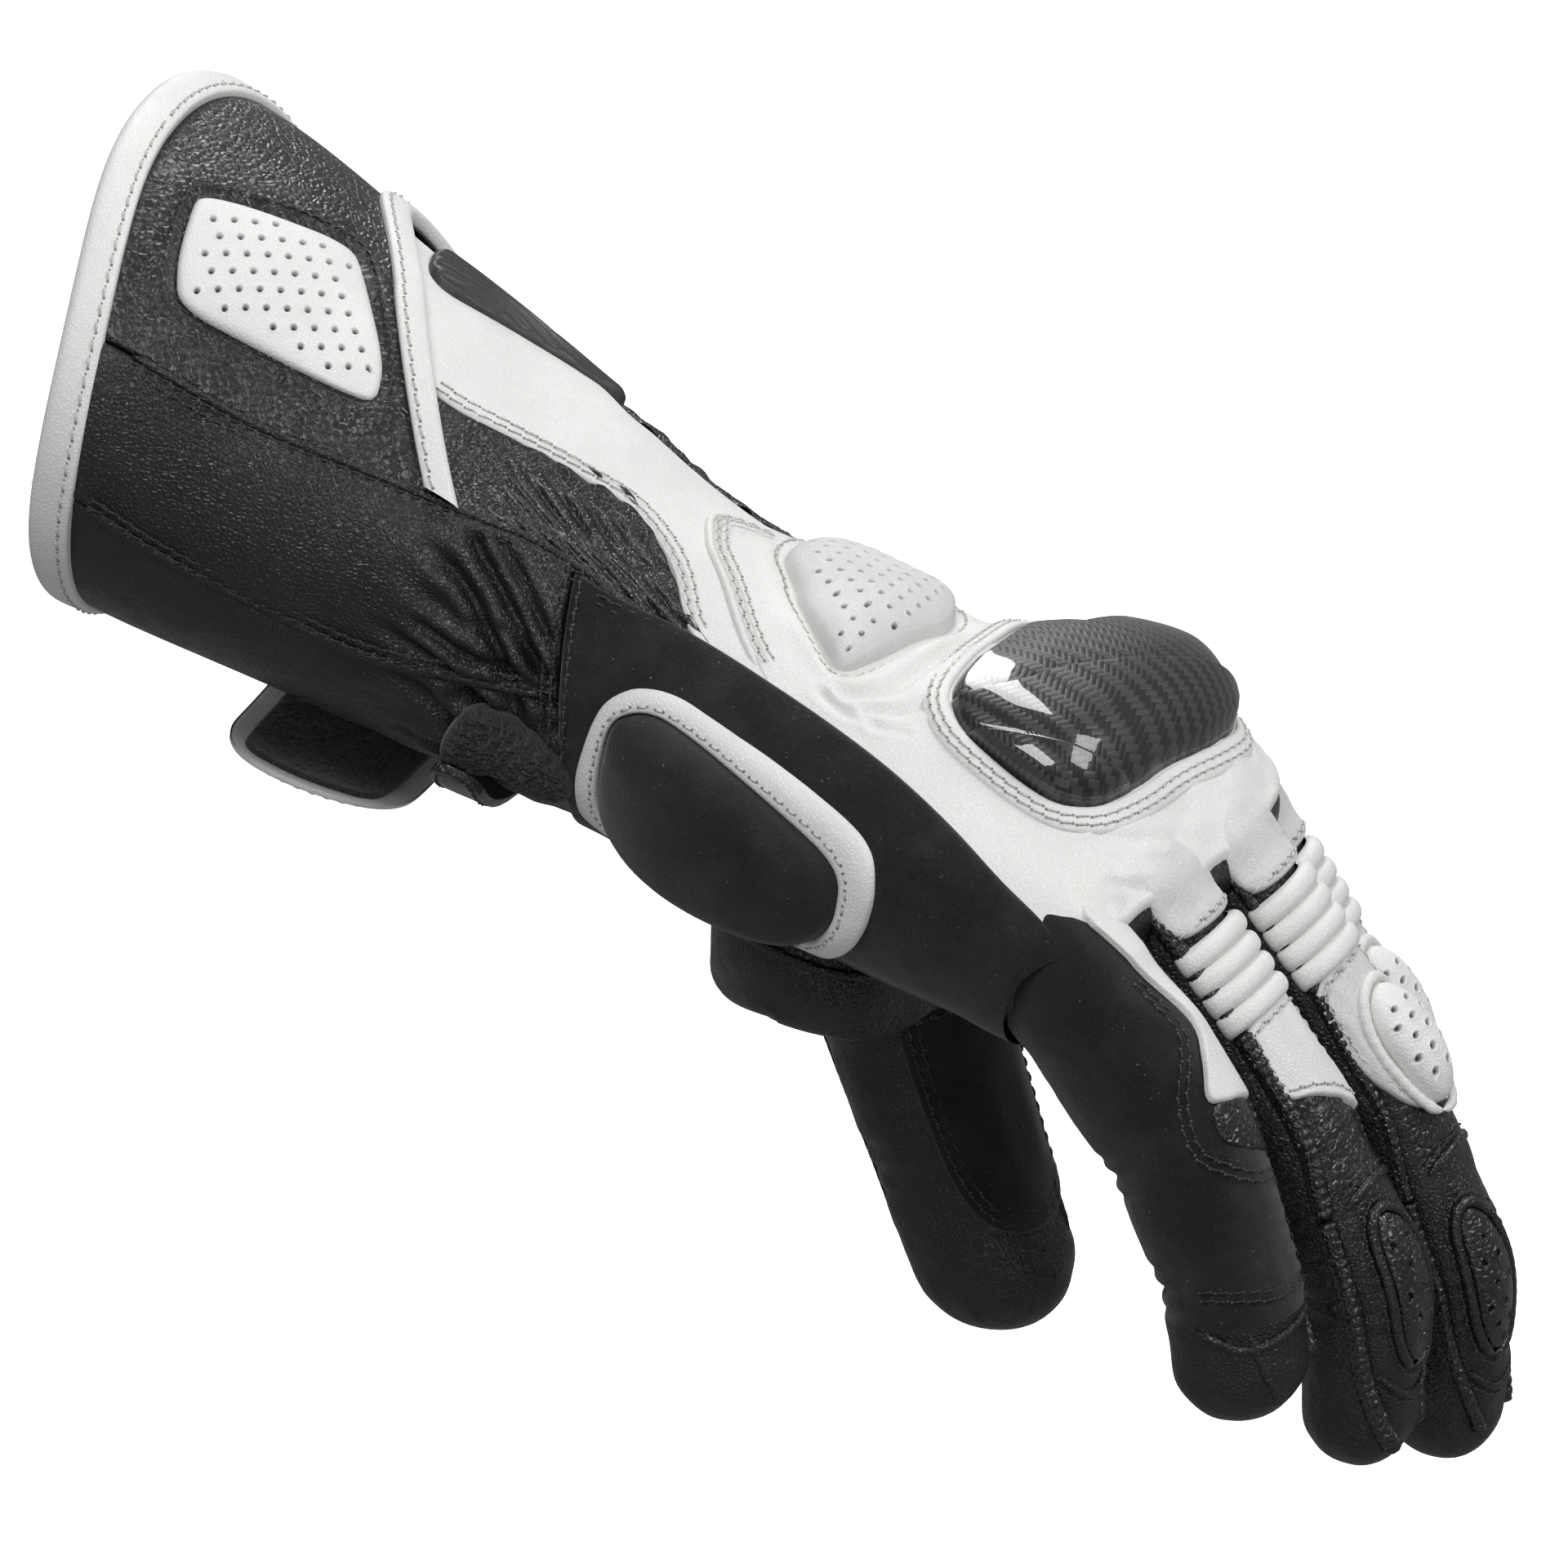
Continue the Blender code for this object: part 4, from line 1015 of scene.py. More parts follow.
def inset(outline, amount, arc=ARC):
    """A closed outline moved inwards by a distance in millimetres, or outwards when negative."""
    flat = outline * (1.0, arc)
    ahead = unit(np.roll(flat, -1, axis=0) - np.roll(flat, 1, axis=0))
    inward = np.stack([-ahead[:, 1], ahead[:, 0]], axis=1) * np.sign(area_sign(flat))
    return (flat + inward * amount) / (1.0, arc)


def away_from(x, a, line, arc=ARC):
    """Distance in millimetres from every place to a line of straight stretches."""
    line = np.asarray(line, float) * (1.0, arc)
    p = np.stack([x, np.asarray(a) * arc], axis=-1)
    least = np.full(np.shape(x), 1e9)
    for start, end in zip(line[:-1], line[1:]):
        way = end - start
        t = np.clip(((p - start) @ way) / max(way @ way, 1e-9), 0, 1)
        least = np.minimum(least, np.linalg.norm(p - start - t[..., None] * way, axis=-1))
    return least


def creases(x, a, lines, arc=ARC):
    """Folds pressed into leather: a narrow valley with a soft ridge on both sides.

    lines holds (points, depth, width) for each fold.
    """
    total = np.zeros(np.shape(x))
    for line, depth, width in lines:
        d = away_from(x, a, through(line, 6), arc)
        total += (
            -depth * np.exp(-((d / width) ** 2))
            + 0.6 * depth * np.exp(-(((d - 2.1 * width) / (1.2 * width)) ** 2))
        )
    return total


def uneven(seed, size, height):
    """Soft unevenness as a relief: value noise of a size and a height in millimetres."""
    return lambda x, a: height * even_noise(x, np.asarray(a) * ARC, size, seed)


def seam(key, finish, place, line, offset, shifts, **shape):
    """Rows of stitches beside a line on a surface."""
    points, normals, _ = trace(place, line, offset)
    for shift in shifts:
        SEWN.stitches(key, finish, sideways(points, normals, shift), normals, **shape)


def corded(key, finish, place, line, offset, width, height, closed=False, **shape):
    """A raised seam along a line on a surface."""
    points, normals, _ = trace(place, line, offset, closed=closed)
    SEWN.cord(key, finish, points, normals, width, height, **shape)


def along_keys(keys, flat):
    """For a row of stitches down a finger: which stretch each part of the row belongs to."""
    return lambda t: keys(np.interp(t, np.linspace(0, 1, len(flat)), flat[:, 0]))


def ringed(key, finish, place, outline, offset, amounts, arc=ARC, keys=None, **shape):
    """Rows of stitches inside (or outside) a closed outline."""
    for amount in amounts:
        rim = inset(outline, amount, arc)
        points, normals, flat = trace(place, rim, offset, closed=True)
        choose = None if keys is None else along_keys(keys, flat)
        SEWN.stitches(key, finish, points, normals, keys=choose, **shape)


def hem(name, finish, edge, angles, profile, wrap):
    """Leather folded over an edge: a closed profile of (along, offset) carried round the edge."""
    profile = np.asarray(profile, float)
    t = np.arange(len(profile) + 1)
    closed = np.vstack([profile, profile[:1]])
    fine = np.linspace(0, len(profile), len(profile) * 4 + 1)[:-1]
    shape = np.stack(
        [smooth_between(fine, np.stack([t, closed[:, k]], axis=1)) for k in (0, 1)], axis=1
    )
    points = glove(edge(angles)[None, :] + shape[:, :1], angles[None, :], shape[:, 1:])
    return skin(name, points, finish, wrap=wrap, loop=True)


WRIST_FOLDS = (
    (((74, 56), (84, 62), (93, 74), (99, 88)), 1.5, 1.6),
    (((84, 44), (92, 52), (98, 60), (104, 66)), 1.3, 1.3),
    (((78, 78), (88, 80), (97, 78), (105, 82)), 1.4, 1.4),
    (((88, 94), (95, 92), (104, 95), (112, 104)), 1.3, 1.4),
    (((66, 100), (80, 98), (90, 104), (100, 116)), 1.1, 1.8),
    (((92, 66), (98, 70), (104, 74)), 0.9, 1.0),
    (((70, 66), (80, 70), (88, 70)), 0.7, 1.8),
    (((80, 120), (92, 122), (106, 118)), 1.2, 1.7),
    (((74, 140), (90, 138), (108, 144)), 1.0, 2.0),
    (((78, 165), (92, 160), (110, 166)), 1.2, 2.0),
    (((76, 200), (92, 206), (108, 202)), 1.2, 2.0),
    (((80, 48), (90, 58), (100, 72), (108, 88)), 1.6, 1.5),
    (((100, 52), (106, 60), (111, 72)), 1.3, 1.2),
    (((70, 84), (82, 86), (92, 92), (100, 100)), 1.4, 1.5),
    (((104, 76), (110, 84), (114, 94)), 1.2, 1.2),
)


def make_gauntlet():
    """Cuff and wrist: panels between seams, binding, piping, window, strip, gathers and plate."""
    side, lower, strip = (along_table(t) for t in (SIDE_SEAM, LOWER_SEAM, STRIP_EDGE))
    wrist = along_table(WRIST_SEAM)

    def inside_cuff(a):
        return cuff_edge(a) + 3.6

    def dished(x, a):
        pit = away_from_rim(x, a, VENT_RIM)
        inside = enclosed(x, a, VENT_RIM)
        return (
            uneven(3, 26.0, 0.7)(x, a) - np.where(inside, 1.4, 1.4 * np.exp(-((pit / 1.6) ** 2)))
        )

    back = panel(
        "cuff_back_leather", "pebbled_black_leather", inside_cuff, notch_edge, still(THUMB_SIDE),
        side, relief=dished, step=0.85
    )
    settle(back, "wrist", ("gauntlet_back_panel",))

    def rumpled(x, a):
        near = ease((x - 62) / 25)
        fine = (
            even_noise(x * 0.8 + np.asarray(a) * 0.35, np.asarray(a) * ARC, 4.0, 9) * 0.55 * near
        )
        return uneven(4, 24.0, 0.8)(x, a) + creases(x, a, WRIST_FOLDS) * near + fine

    panel_side = panel(
        "cuff_side_leather", "smooth_black_leather", inside_cuff, wrist, side, lower, lift=0.5,
        drop=1.9, relief=rumpled, step=0.75
    )
    settle(panel_side, "wrist", ("gauntlet_side_panel",))
    palm = panel(
        "cuff_palm_leather", "smooth_black_leather", inside_cuff, still(117.0), lower,
        still(THUMB_SIDE + 360), relief=rumpled, step=0.95, edges="acd"
    )
    settle(palm, "wrist", ("gauntlet_palm_panel",))

    for line, shifts in ((SIDE_SEAM, (-1.1, -2.9)), (LOWER_SEAM, (1.0, 2.8))):
        inner = np.array(
            [p for p in through(line) if 8 < p[0] < 112 and p[0] > cuff_edge(p[1]) + 7]
        )
        seam("wrist", "black_thread", glove, inner, 0.55, shifts)
        corded("wrist", "smooth_black_leather", glove, inner, 0.2, 0.9, 0.75, whip=0.1, pitch=3.0)
    across = np.array([(x, a) for a, x in through(WRIST_SEAM) if a < 116])
    seam("wrist", "black_thread", glove, across, 1.2, (-1.2, -3.0, 1.6))

    angles = np.arange(360) * 1.0
    profile = (
        (-2.7, -0.7), (-2.3, 0.9), (-1.0, 1.8), (1.2, 1.95), (3.8, 1.75), (5.2, 1.4), (5.6, 0.6),
        (5.5, -1.2), (5.3, -2.5), (2.5, -2.95), (-0.6, -2.9), (-2.2, -2.2)
    )
    binding = hem("cuff_edge_binding", "white_leather", cuff_edge, angles, profile, True)
    settle(binding, "gauntlet", ("cuff_binding",))
    row = np.stack([cuff_edge(angles) + 3.9, angles], axis=1)
    points, normals, _ = trace(glove, row, 1.72, closed=True, smooth=False)
    SEWN.stitches("wrist", "white_thread", points, normals, length=2.1, gap=1.3, radius=0.25)

    spots = perforations(VENT_RIM, (4.0, 50.0, 3.0), (-6, 38, 5.8), 2.9, 2.6)
    vent = patch(
        "cuff_vent_window", "white_pad_leather", glove, VENT_PAD,
        lambda f: -0.45 + 1.0 * (1 - f**4), half=80, holes=(spots, 0.52, 1.1), drop=1.2, roll=1.5,
        relief=uneven(8, 11.0, 0.25)
    )
    settle(vent, "gauntlet", ("gauntlet_vent_pad",))
    ringed("wrist", "black_thread", glove, VENT_RIM, 0.1, (-1.9,), length=1.7, gap=0.8, radius=0.2)

    sweep = np.linspace(side(72.0) - 0.5, THUMB_SIDE + 1, 300)
    profile = (
        (-5.2, 0.2), (-5.0, 1.2), (-3.6, 1.75), (-1.0, 2.0), (1.0, 1.9), (2.0, 1.1), (2.1, -0.4),
        (1.2, -1.2), (-2.0, -1.3), (-4.6, -0.8)
    )
    piping = hem("notch_edge_piping", "white_leather", notch_edge, sweep[::-1], profile, False)
    settle(piping, "gauntlet", ("notch_piping",))
    row = np.stack([notch_edge(sweep) - 3.3, sweep], axis=1)
    points, normals, _ = trace(glove, row, 1.78, smooth=False)
    SEWN.stitches("wrist", "white_thread", points, normals, length=2.1, gap=1.3, radius=0.25)

    def under_notch(a):
        return notch_edge(a) - 7

    def sleeve(x, a):
        return -2.1 + 2.1 * ease((x - 72) / 36)

    def strip_lift(x, a):
        return sleeve(x, a) + 0.35

    def far_side(x):
        x = np.asarray(x, float)
        return -37 + 8.5 * ease((x - 74) / 12) - 8.5 * ease((x - 116) / 8)

    white = panel(
        "wrist_back_leather", "white_leather", under_notch, still(146.0), far_side, strip,
        lift=strip_lift, drop=1.6, relief=uneven(12, 20.0, 0.5), edges="cd", step=0.8
    )
    settle(white, "wrist", ("wrist_back_strip",))
    edge = [(x, strip(x)) for x in np.linspace(57, 121, 40)]
    line, normals, _ = trace(lambda x, a, o=0.0: glove(x, a, strip_lift(x, a) + 0.05 + o), edge)
    for shift in (1.4, 3.1):
        SEWN.stitches(
            "wrist", "white_thread", sideways(line, normals, shift), normals, radius=0.23
        )

    def gathered(x, a):
        v = np.asarray(a) * ARC
        amount = ease((x - 68) / 20) * ease((strip(x) + 40 - a) / 20)
        run = x + 2.5 * v + 5.0 * even_noise(x, v, 11.0, 21)
        ridge = np.abs(
            np.sin((v * 1.0 - 0.42 * x + 2.2 * even_noise(x, v, 9.0, 22)) * np.pi / 3.9)
        )
        folds = (ridge**0.7 - 0.6) * 2.1 * (0.55 + 0.45 * even_noise(run, v, 8.0, 23))
        return (
            amount * folds + 0.7 * even_noise(x, v, 10.0, 24)
            + 0.3 * amount * even_noise(x, v, 3.0, 25)
        )

    def gusset_lift(x, a):
        return sleeve(x, a) - 0.55

    gusset = panel(
        "outer_wrist_gathers", "soft_black_leather", under_notch, still(126.0),
        lambda x: strip(x) - 4, lambda x: side(x) + 5, lift=gusset_lift, relief=gathered, edges="",
        step=0.6
    )
    settle(gusset, "wrist", ("outer_wrist_gusset",))
    inner = panel(
        "inner_wrist_gathers", "soft_black_leather", under_notch, still(126.0),
        still(THUMB_SIDE - 6), still(-35), lift=gusset_lift, relief=gathered, edges="", step=0.9
    )
    settle(inner, "wrist", ("inner_wrist_gusset",))

    def wavy(x, a):
        v = np.asarray(a) * ARC
        wave = np.sin((v + 3.2 * np.sin(x / 6.5)) * 2 * np.pi / 5.2)
        return 0.42 * np.sign(wave) * np.abs(wave) ** 0.6

    plate = patch(
        "wrist_rubber_plate", "trim_rubber", lambda x, a, o: glove(x, a, strip_lift(x, a) + o),
        TRIM_PLATE, lambda f: 1.9 - 0.4 * f**2, half=80, drop=2.0, roll=1.3, relief=wavy
    )
    settle(plate, "wrist", ("wrist_trim_plate",))


def away_from_rim(x, a, rim):
    """Distance in millimetres from every place to a closed outline."""
    return away_from(x, a, np.vstack([rim, rim[:1]]))


def enclosed(x, a, rim):
    """Whether each place lies inside a closed outline, by counting the edges crossed."""
    inside = np.zeros(np.shape(x), bool)
    for (x0, a0), (x1, a1) in zip(rim, np.roll(rim, -1, axis=0)):
        if abs(a1 - a0) < 1e-12:
            continue
        crossing = (a0 > a) != (a1 > a)
        inside ^= crossing & (x < (x1 - x0) * (a - a0) / (a1 - a0) + x0)
    return inside


def perforations(rim, rows, columns, shift, margin, arc=ARC):
    """Middles of holes in staggered rows inside an outline, off its edge by a margin.

    rows and columns give the first and last places and the step; every other row is shifted.
    """
    kept = inset(rim, margin, arc)
    spots = []
    for i, x in enumerate(np.arange(*rows)):
        a = np.arange(columns[0] + (i % 2) * shift, *columns[1:])
        spots += [(x, v) for v in a[enclosed(np.full(a.shape, x), a, kept)]]
    return spots


VENT_RIM = rounded_outline(VENT_PAD, 90)
SHIELD_RIM = rounded_outline(SHIELD, 120)
WRIST_PAD_RIM = rounded_outline(WRIST_PAD, 100, cuts=4)
SLIDER_RIM = rounded_outline(SLIDER, 120)


def make_hand():
    """The hand's panels between seams, and the pads, shield and slider on them."""
    suede_top = along_table(SUEDE_TOP)
    back_edge = along_table(BACK_EDGE)
    wrist = along_table(WRIST_SEAM)

    def swollen(x, a):
        d = away_from_rim(x, a, SHIELD_RIM)
        near_pad = away_from_rim(x, a, WRIST_PAD_RIM)
        lines = (
            (((152, 24), (158, 16), (160, 4), (162, -12)), 1.0, 1.2),
            (((157, 26), (163, 20), (166, 14)), 0.7, 1.0),
            (((148, 28), (154, 30), (160, 28)), 0.5, 1.0),
            (((160, 30), (166, 26)), 0.4, 0.8),
            (((206, 20), (211, 14), (216, 6)), 0.5, 1.0),
            (((212, 30), (216, 24), (219, 18)), 0.4, 0.9),
        )
        raised = (
            1.7 * np.exp(-((d / 5.0) ** 2)) - 0.5 * np.exp(-((near_pad / 1.2) ** 2))
            + 0.5 * np.exp(-(((near_pad - 3) / 2.0) ** 2))
        )
        tail = ease((x - 205) / 12) * 0.5 * even_noise(x, np.asarray(a) * ARC, 3.4, 31)
        return raised + creases(x, a, lines) + uneven(30, 18.0, 0.5)(x, a) + tail

    back = panel(
        "hand_back_leather", "white_leather", back_edge, hand_end, still(-82.0),
        lambda x: suede_top(x) + 2.0, lift=0.55, drop=2.0, relief=swollen, edges="ab", step=0.75
    )
    settle(back, "wrist", ("hand_back_panel",))
    edge = [(back_edge(a), a) for a in np.linspace(31, -24, 50)]
    seam("wrist", "white_thread", glove, edge, 0.75, (-1.5, -3.2), radius=0.23)
    corded("wrist", "white_leather", glove, edge, 0.1, 0.8, 0.9)

    def soft_suede(x, a):
        return uneven(33, 24.0, 0.8)(x, a) + uneven(34, 7.0, 0.22)(x, a)

    suede = panel(
        "outer_hand_suede", "black_suede", wrist, hand_end, suede_top, still(135.0), lift=1.15,
        drop=2.0, relief=soft_suede, edges="acd", step=0.85
    )
    settle(suede, "wrist", ("outer_suede_panel",))
    top = [(x, suede_top(x)) for x in np.linspace(103, 214, 60)]
    seam("wrist", "black_thread", glove, top, 1.35, (-1.9, -3.5), radius=0.24)

    palm_folds = (
        (((150, 150), (160, 160), (172, 172), (184, 178)), 1.4, 2.0),
        (((140, 205), (150, 196), (164, 190), (180, 190)), 1.6, 2.2),
        (((176, 140), (184, 155), (192, 170), (198, 186)), 1.3, 2.0),
        (((170, 215), (182, 205), (194, 196)), 1.2, 1.8),
        (((118, 150), (124, 168), (128, 190)), 1.1, 2.0),
        (((196, 144), (200, 165), (204, 188)), 1.0, 1.8),
    )

    def palm_relief(x, a):
        return creases(x, a, palm_folds) + uneven(36, 14.0, 0.7)(x, a)

    palm = panel(
        "palm_leather", "smooth_black_leather", still(113.0), hand_end, still(135.0), still(190.0),
        drop=1.6, relief=palm_relief, edges="bcd", step=0.95
    )
    settle(palm, "wrist", ("palm_panel",))
    thenar = panel(
        "thenar_leather", "smooth_black_leather", still(108.0), hand_end, still(190.0),
        still(279.0), drop=1.6, relief=palm_relief, edges="bcd", step=1.0
    )
    settle(thenar, "wrist", ("thenar_panel",))
    for angle, first, last in ((135, 117, 206), (190, 116, 206), (-80, 122, 214)):
        line = [(x, angle) for x in np.linspace(first, last, 30)]
        seam("wrist", "black_thread", glove, line, 0.25, (1.6, -1.6))

    make_finger_webs()
    make_wrist_pad()
    make_shield()
    make_slider()


def make_finger_webs():
    """Black leather between the finger roots, rounding over from the edges of the panels."""
    angles = np.arange(0, 360, 2.0)
    u = np.radians(np.linspace(0, 90, 9))[:, None]
    offset = -0.9 - 7.0 * (1 - np.cos(u))
    x = hand_end(angles)[None, :] - 0.8 + 3.4 * np.sin(u)
    shell = glove(np.minimum(x, 400.0), angles[None, :], offset)
    shell[..., 0] = x
    rim = shell[-1]
    middle = rim.mean(axis=0)
    middle[0] = 0.0
    inner = [middle + (rim - middle) * (1.0, f, f) for f in (0.8, 0.55, 0.3, 0.08)]
    points = np.concatenate([shell, np.array(inner)])
    webs = skin("finger_root_webs", points, "soft_black_leather", wrap=True, caps=(-1,))
    settle(webs, "wrist")


def make_wrist_pad():
    spots = perforations(WRIST_PAD_RIM, (120, 160, 3.1), (-52, 24, 5.2), 2.6, 2.6)
    pad = patch(
        "wrist_impact_pad", "white_textured_leather", glove, WRIST_PAD,
        lambda f: 1.4 + 5.2 * (1 - f**3.2) ** 0.75, half=95, drop=1.8, roll=1.6,
        holes=(spots, 0.42, 0.9), relief=uneven(41, 9.0, 0.3), cuts=4
    )
    settle(pad, "wrist", ("wrist_pad",))
    ringed("wrist", "white_thread", glove, WRIST_PAD_RIM, 0.85, (-1.9,), radius=0.22)


def make_shield():
    """The hard knuckle cover: a steep dome with three lobes fanning out from its wrist corner."""
    fan = np.array((158.0, 26.0))

    def lobes(x, a):
        dx, dy = x - fan[0], (fan[1] - a) * ARC
        turn = np.degrees(np.arctan2(dy, dx))
        turn = turn + 9.0 * np.sin(np.hypot(dx, dy) / 26.0)
        u = np.clip((turn - 4.0) / 78.0, 0, 0.9999) * 3.3
        part = u - np.floor(u)
        rise = part**0.55 * (1 - ease((part - 0.93) / 0.07))
        return 1.9 * rise * ease((np.hypot(dx, dy) - 6) / 14)

    def dome(x, a):
        d = away_from_rim(x, a, SHIELD_RIM)
        rise = (1 - (1 - np.clip(d / 13.0, 0, 1)) ** 2) ** 0.65
        return rise * (3.0 + 5.4 * ease((x - 163) / 32)) + lobes(x, a)

    cover = patch(
        "carbon_knuckle_shield", "carbon_twill", glove, SHIELD, 1.5, half=110, drop=2.2, roll=1.0,
        relief=dome, weave=True
    )
    settle(cover, "wrist", ("knuckle_shield", "knuckle_foam"))

    rings = []
    for amount, offset in (
        (-4.6, 0.5), (-4.55, 1.2), (-4.2, 1.75), (-3.4, 2.05), (-1.8, 2.6), (-0.6, 3.0),
        (0.1, 2.95), (0.35, 2.2), (0.3, 1.0)
    ):
        ring = inset(SHIELD_RIM, amount)
        rings.append(glove(ring[:, 0], ring[:, 1], offset))
    points = np.array(rings)
    rim = skin(
        "shield_leather_rim", points, "white_leather", wrap=True, turned=area_sign(SHIELD_RIM) < 0
    )
    settle(rim, "wrist", ("knuckle_shield_rim",))
    ringed("wrist", "white_thread", glove, SHIELD_RIM, 2.62, (-1.75,), radius=0.24)
    ringed("wrist", "white_thread", glove, SHIELD_RIM, 2.15, (-3.3,), radius=0.24)


def make_slider():
    def crown(f):
        return 1.3 + 9.6 * (1 - f**2.4) ** 0.7

    pad = patch(
        "palm_slider_cushion", "black_suede", glove, SLIDER, crown, half=60, drop=1.6, roll=1.6,
        relief=uneven(51, 13.0, 0.4)
    )
    settle(pad, "wrist", ("palm_slider_pad",))
    outer = rounded_outline(SLIDER_BORDER, 120)
    start = np.argmin(np.hypot(*((SLIDER_RIM - outer[0]) * (1, ARC)).T))
    inner = np.roll(SLIDER_RIM, -start, axis=0)
    rings = []
    for t, offset in (
        (-0.06, 0.0), (0.0, 1.3), (0.1, 2.0), (0.5, 2.35), (0.85, 2.3), (0.95, 2.0), (1.0, 1.3),
        (1.02, 0.2)
    ):
        ring = outer + (inner - outer) * t
        rings.append(glove(ring[:, 0], ring[:, 1], offset))
    border = skin(
        "slider_leather_border", np.array(rings), "white_leather", wrap=True,
        turned=area_sign(outer) < 0
    )
    settle(border, "wrist", ("palm_slider_border",))
    middle = outer + (inner - outer) * 0.74
    points, normals, _ = trace(glove, middle, 2.3, closed=True)
    SEWN.stitches("wrist", "white_thread", points, normals, length=1.5, gap=1.7, radius=0.24)


def finger_relief(name):
    """Soft unevenness, fine creases over the back of each joint and deeper ones under it."""
    lengths = FINGERS[name][2]
    joints = (lengths[0], lengths[0] + lengths[1])
    seed = 60 + 5 * list(FINGERS).index(name)

    def relief(s, a):
        around = np.asarray(a) * FINGER_ARC
        total = (
            0.3 * even_noise(s, around, 7.0, seed) + 0.12 * even_noise(s, around, 2.6, seed + 1)
        )
        for at in joints:
            near = np.exp(-(((s - at) / 7.5) ** 2))
            over = np.clip(np.cos(np.radians(a)), 0, 1) ** 0.5
            under = np.clip(-np.cos(np.radians(a)) + 0.3, 0, 1)
            wave = np.sin(s * 2.1 + 1.4 * even_noise(s, around, 4.0, seed + 2))
            total += near * over * 0.22 * wave
            total -= under * 1.2 * np.exp(-(((s - at) / 1.9) ** 2))
            total -= under * 0.6 * (
                np.exp(-(((s - at - 5) / 1.4) ** 2)) + np.exp(-(((s - at + 5) / 1.4) ** 2))
            )
        return total

    return relief


# Where the corded seam runs down the side of a finger: (distance, angle).
CORD_RUN = {
    "index": (
        (-6, 50), (8, 48), (22, 45), (36, 50), (48, 56), (60, 66), (74, 76), (86, 70), (96, 52),
        (103, 30)
    ),
    "middle": (
        (-6, 50), (8, 48), (22, 48), (38, 58), (50, 62), (62, 72), (78, 78), (92, 70), (104, 50),
        (113, 30)
    ),
    "ring": (
        (-6, 50), (8, 48), (22, 45), (36, 48), (46, 53), (54, 63), (64, 73), (75, 78), (88, 68),
        (98, 50), (105, 28)
    ),
    "little": (
        (-4, -46), (10, -44), (24, -44), (34, -48), (46, -58), (58, -64), (68, -58), (78, -34)
    ),
}


def make_finger(name):
    """One finger: three shells, each round one of its joints, side cords, stitches and back pieces.
    """
    place = finger_place(name)
    _, _, lengths, _, half_width, _, fuller = FINGERS[name]
    total = sum(lengths)
    keyed, splits = finger_keys(name)
    relief = finger_relief(name)
    angles = np.linspace(-180, 180, 132, endpoint=False)
    ends = (-16.0, splits[0], splits[1], total - half_width)
    little = name == "little"
    base = "black_suede" if little else "smooth_black_leather"
    cords = (
        [CORD_RUN[name]] if little else [CORD_RUN[name], tuple((s, -a) for s, a in CORD_RUN[name])]
    )
    groove_lines = [through(c, 5) for c in cords]
    for k, part in enumerate(("root", "middle", "end")):
        rows = np.linspace(ends[k], ends[k + 1], max(4, int((ends[k + 1] - ends[k]) / 0.75)))
        if part == "end":
            turn = np.radians(np.linspace(0, 89, 16))[1:]
            rows = np.concatenate([rows, ends[3] + half_width * np.sin(turn)])
        s, a = np.meshgrid(rows, angles, indexing="ij")
        offset = relief(s, a) * ease((total - s) / 8)
        for line in groove_lines:
            offset = offset - 0.5 * np.exp(-((away_from(s, a, line, FINGER_ARC) / 1.3) ** 2))
        caps = (0,) if part == "root" else (-1,) if part == "end" else ()
        made = skin(f"{name}_{part}_leather", place(s, a, offset), base, wrap=True, caps=caps)
        quad_s = (s[:-1] + s[1:]) / 2
        quad_a = a[:-1] + 180 / len(angles)
        over = np.abs(quad_a) < 47
        joint = lengths[0]
        if not little:
            repaint(made, "glossy_black_leather", over & (quad_s > 18) & (quad_s < joint + 13))
            repaint(
                made, "soft_black_leather", over & (quad_s >= joint + 13) & (quad_s < total - 24)
            )
        else:
            repaint(made, "smooth_black_leather", quad_s > total - 22)
        replaced = {
            "root": (name + "_base_shell",), "middle": (name + "_mid_shell",),
            "end": (name + "_tip_shell",)
        }
        settle(made, f"{name}_{part}", replaced[part])

    for line in cords:
        for first, last in ((-20, splits[0]), (splits[0], splits[1]), (splits[1], 200)):
            run = through(line, 10)
            run = run[(run[:, 0] >= first - 0.7) & (run[:, 0] <= last + 0.7)]
            if len(run) < 4:
                continue
            points, normals, _ = trace(place, run, 0.1, step=0.4, smooth=False)
            key = str(keyed((max(first, -10) + min(last, total)) / 2))
            thick = 1.9 if (little or (name == "ring" and line[0][1] > 0)) else 1.25
            SEWN.cord(
                key, "glossy_black_leather", points, normals, thick, thick, whip=0.22, pitch=1.9,
                sides=10, taper=0.8
            )
        low = [(s, a + (62 if a > 0 else -62)) for s, a in line if 0 < s < total - 14]
        points, normals, flat = trace(place, low, 0.05)
        SEWN.stitches(
            "", "black_thread", points, normals, radius=0.2, keys=along_keys(keyed, flat)
        )

    if not little:
        cross = [(lengths[0] + 13 + 2 * (a / 47) ** 2, a) for a in np.linspace(-46, 46, 24)]
        key = str(keyed(lengths[0] + 13.5))
        corded(key, "soft_black_leather", place, cross, 0.1, 1.1, 0.8, whip=0.08)
        seam(key, "black_thread", place, cross, 0.1, (-2.0,), radius=0.22)
        tip = total - 22
        crown = [(tip + 5 * math.cos(math.radians(a * 2)), a) for a in np.linspace(-50, 50, 24)]
        corded(f"{name}_end", "smooth_black_leather", place, crown, 0.1, 0.9, 0.6)
        seam(f"{name}_end", "black_thread", place, crown, 0.1, (1.5,), radius=0.2)
    if little:
        little_details(place)
    else:
        stretch_back(name, place)
        knuckle_back(name, place)
        vent_insert(name, place)


RIB_START, RIB_PITCH = 3.8, 4.55


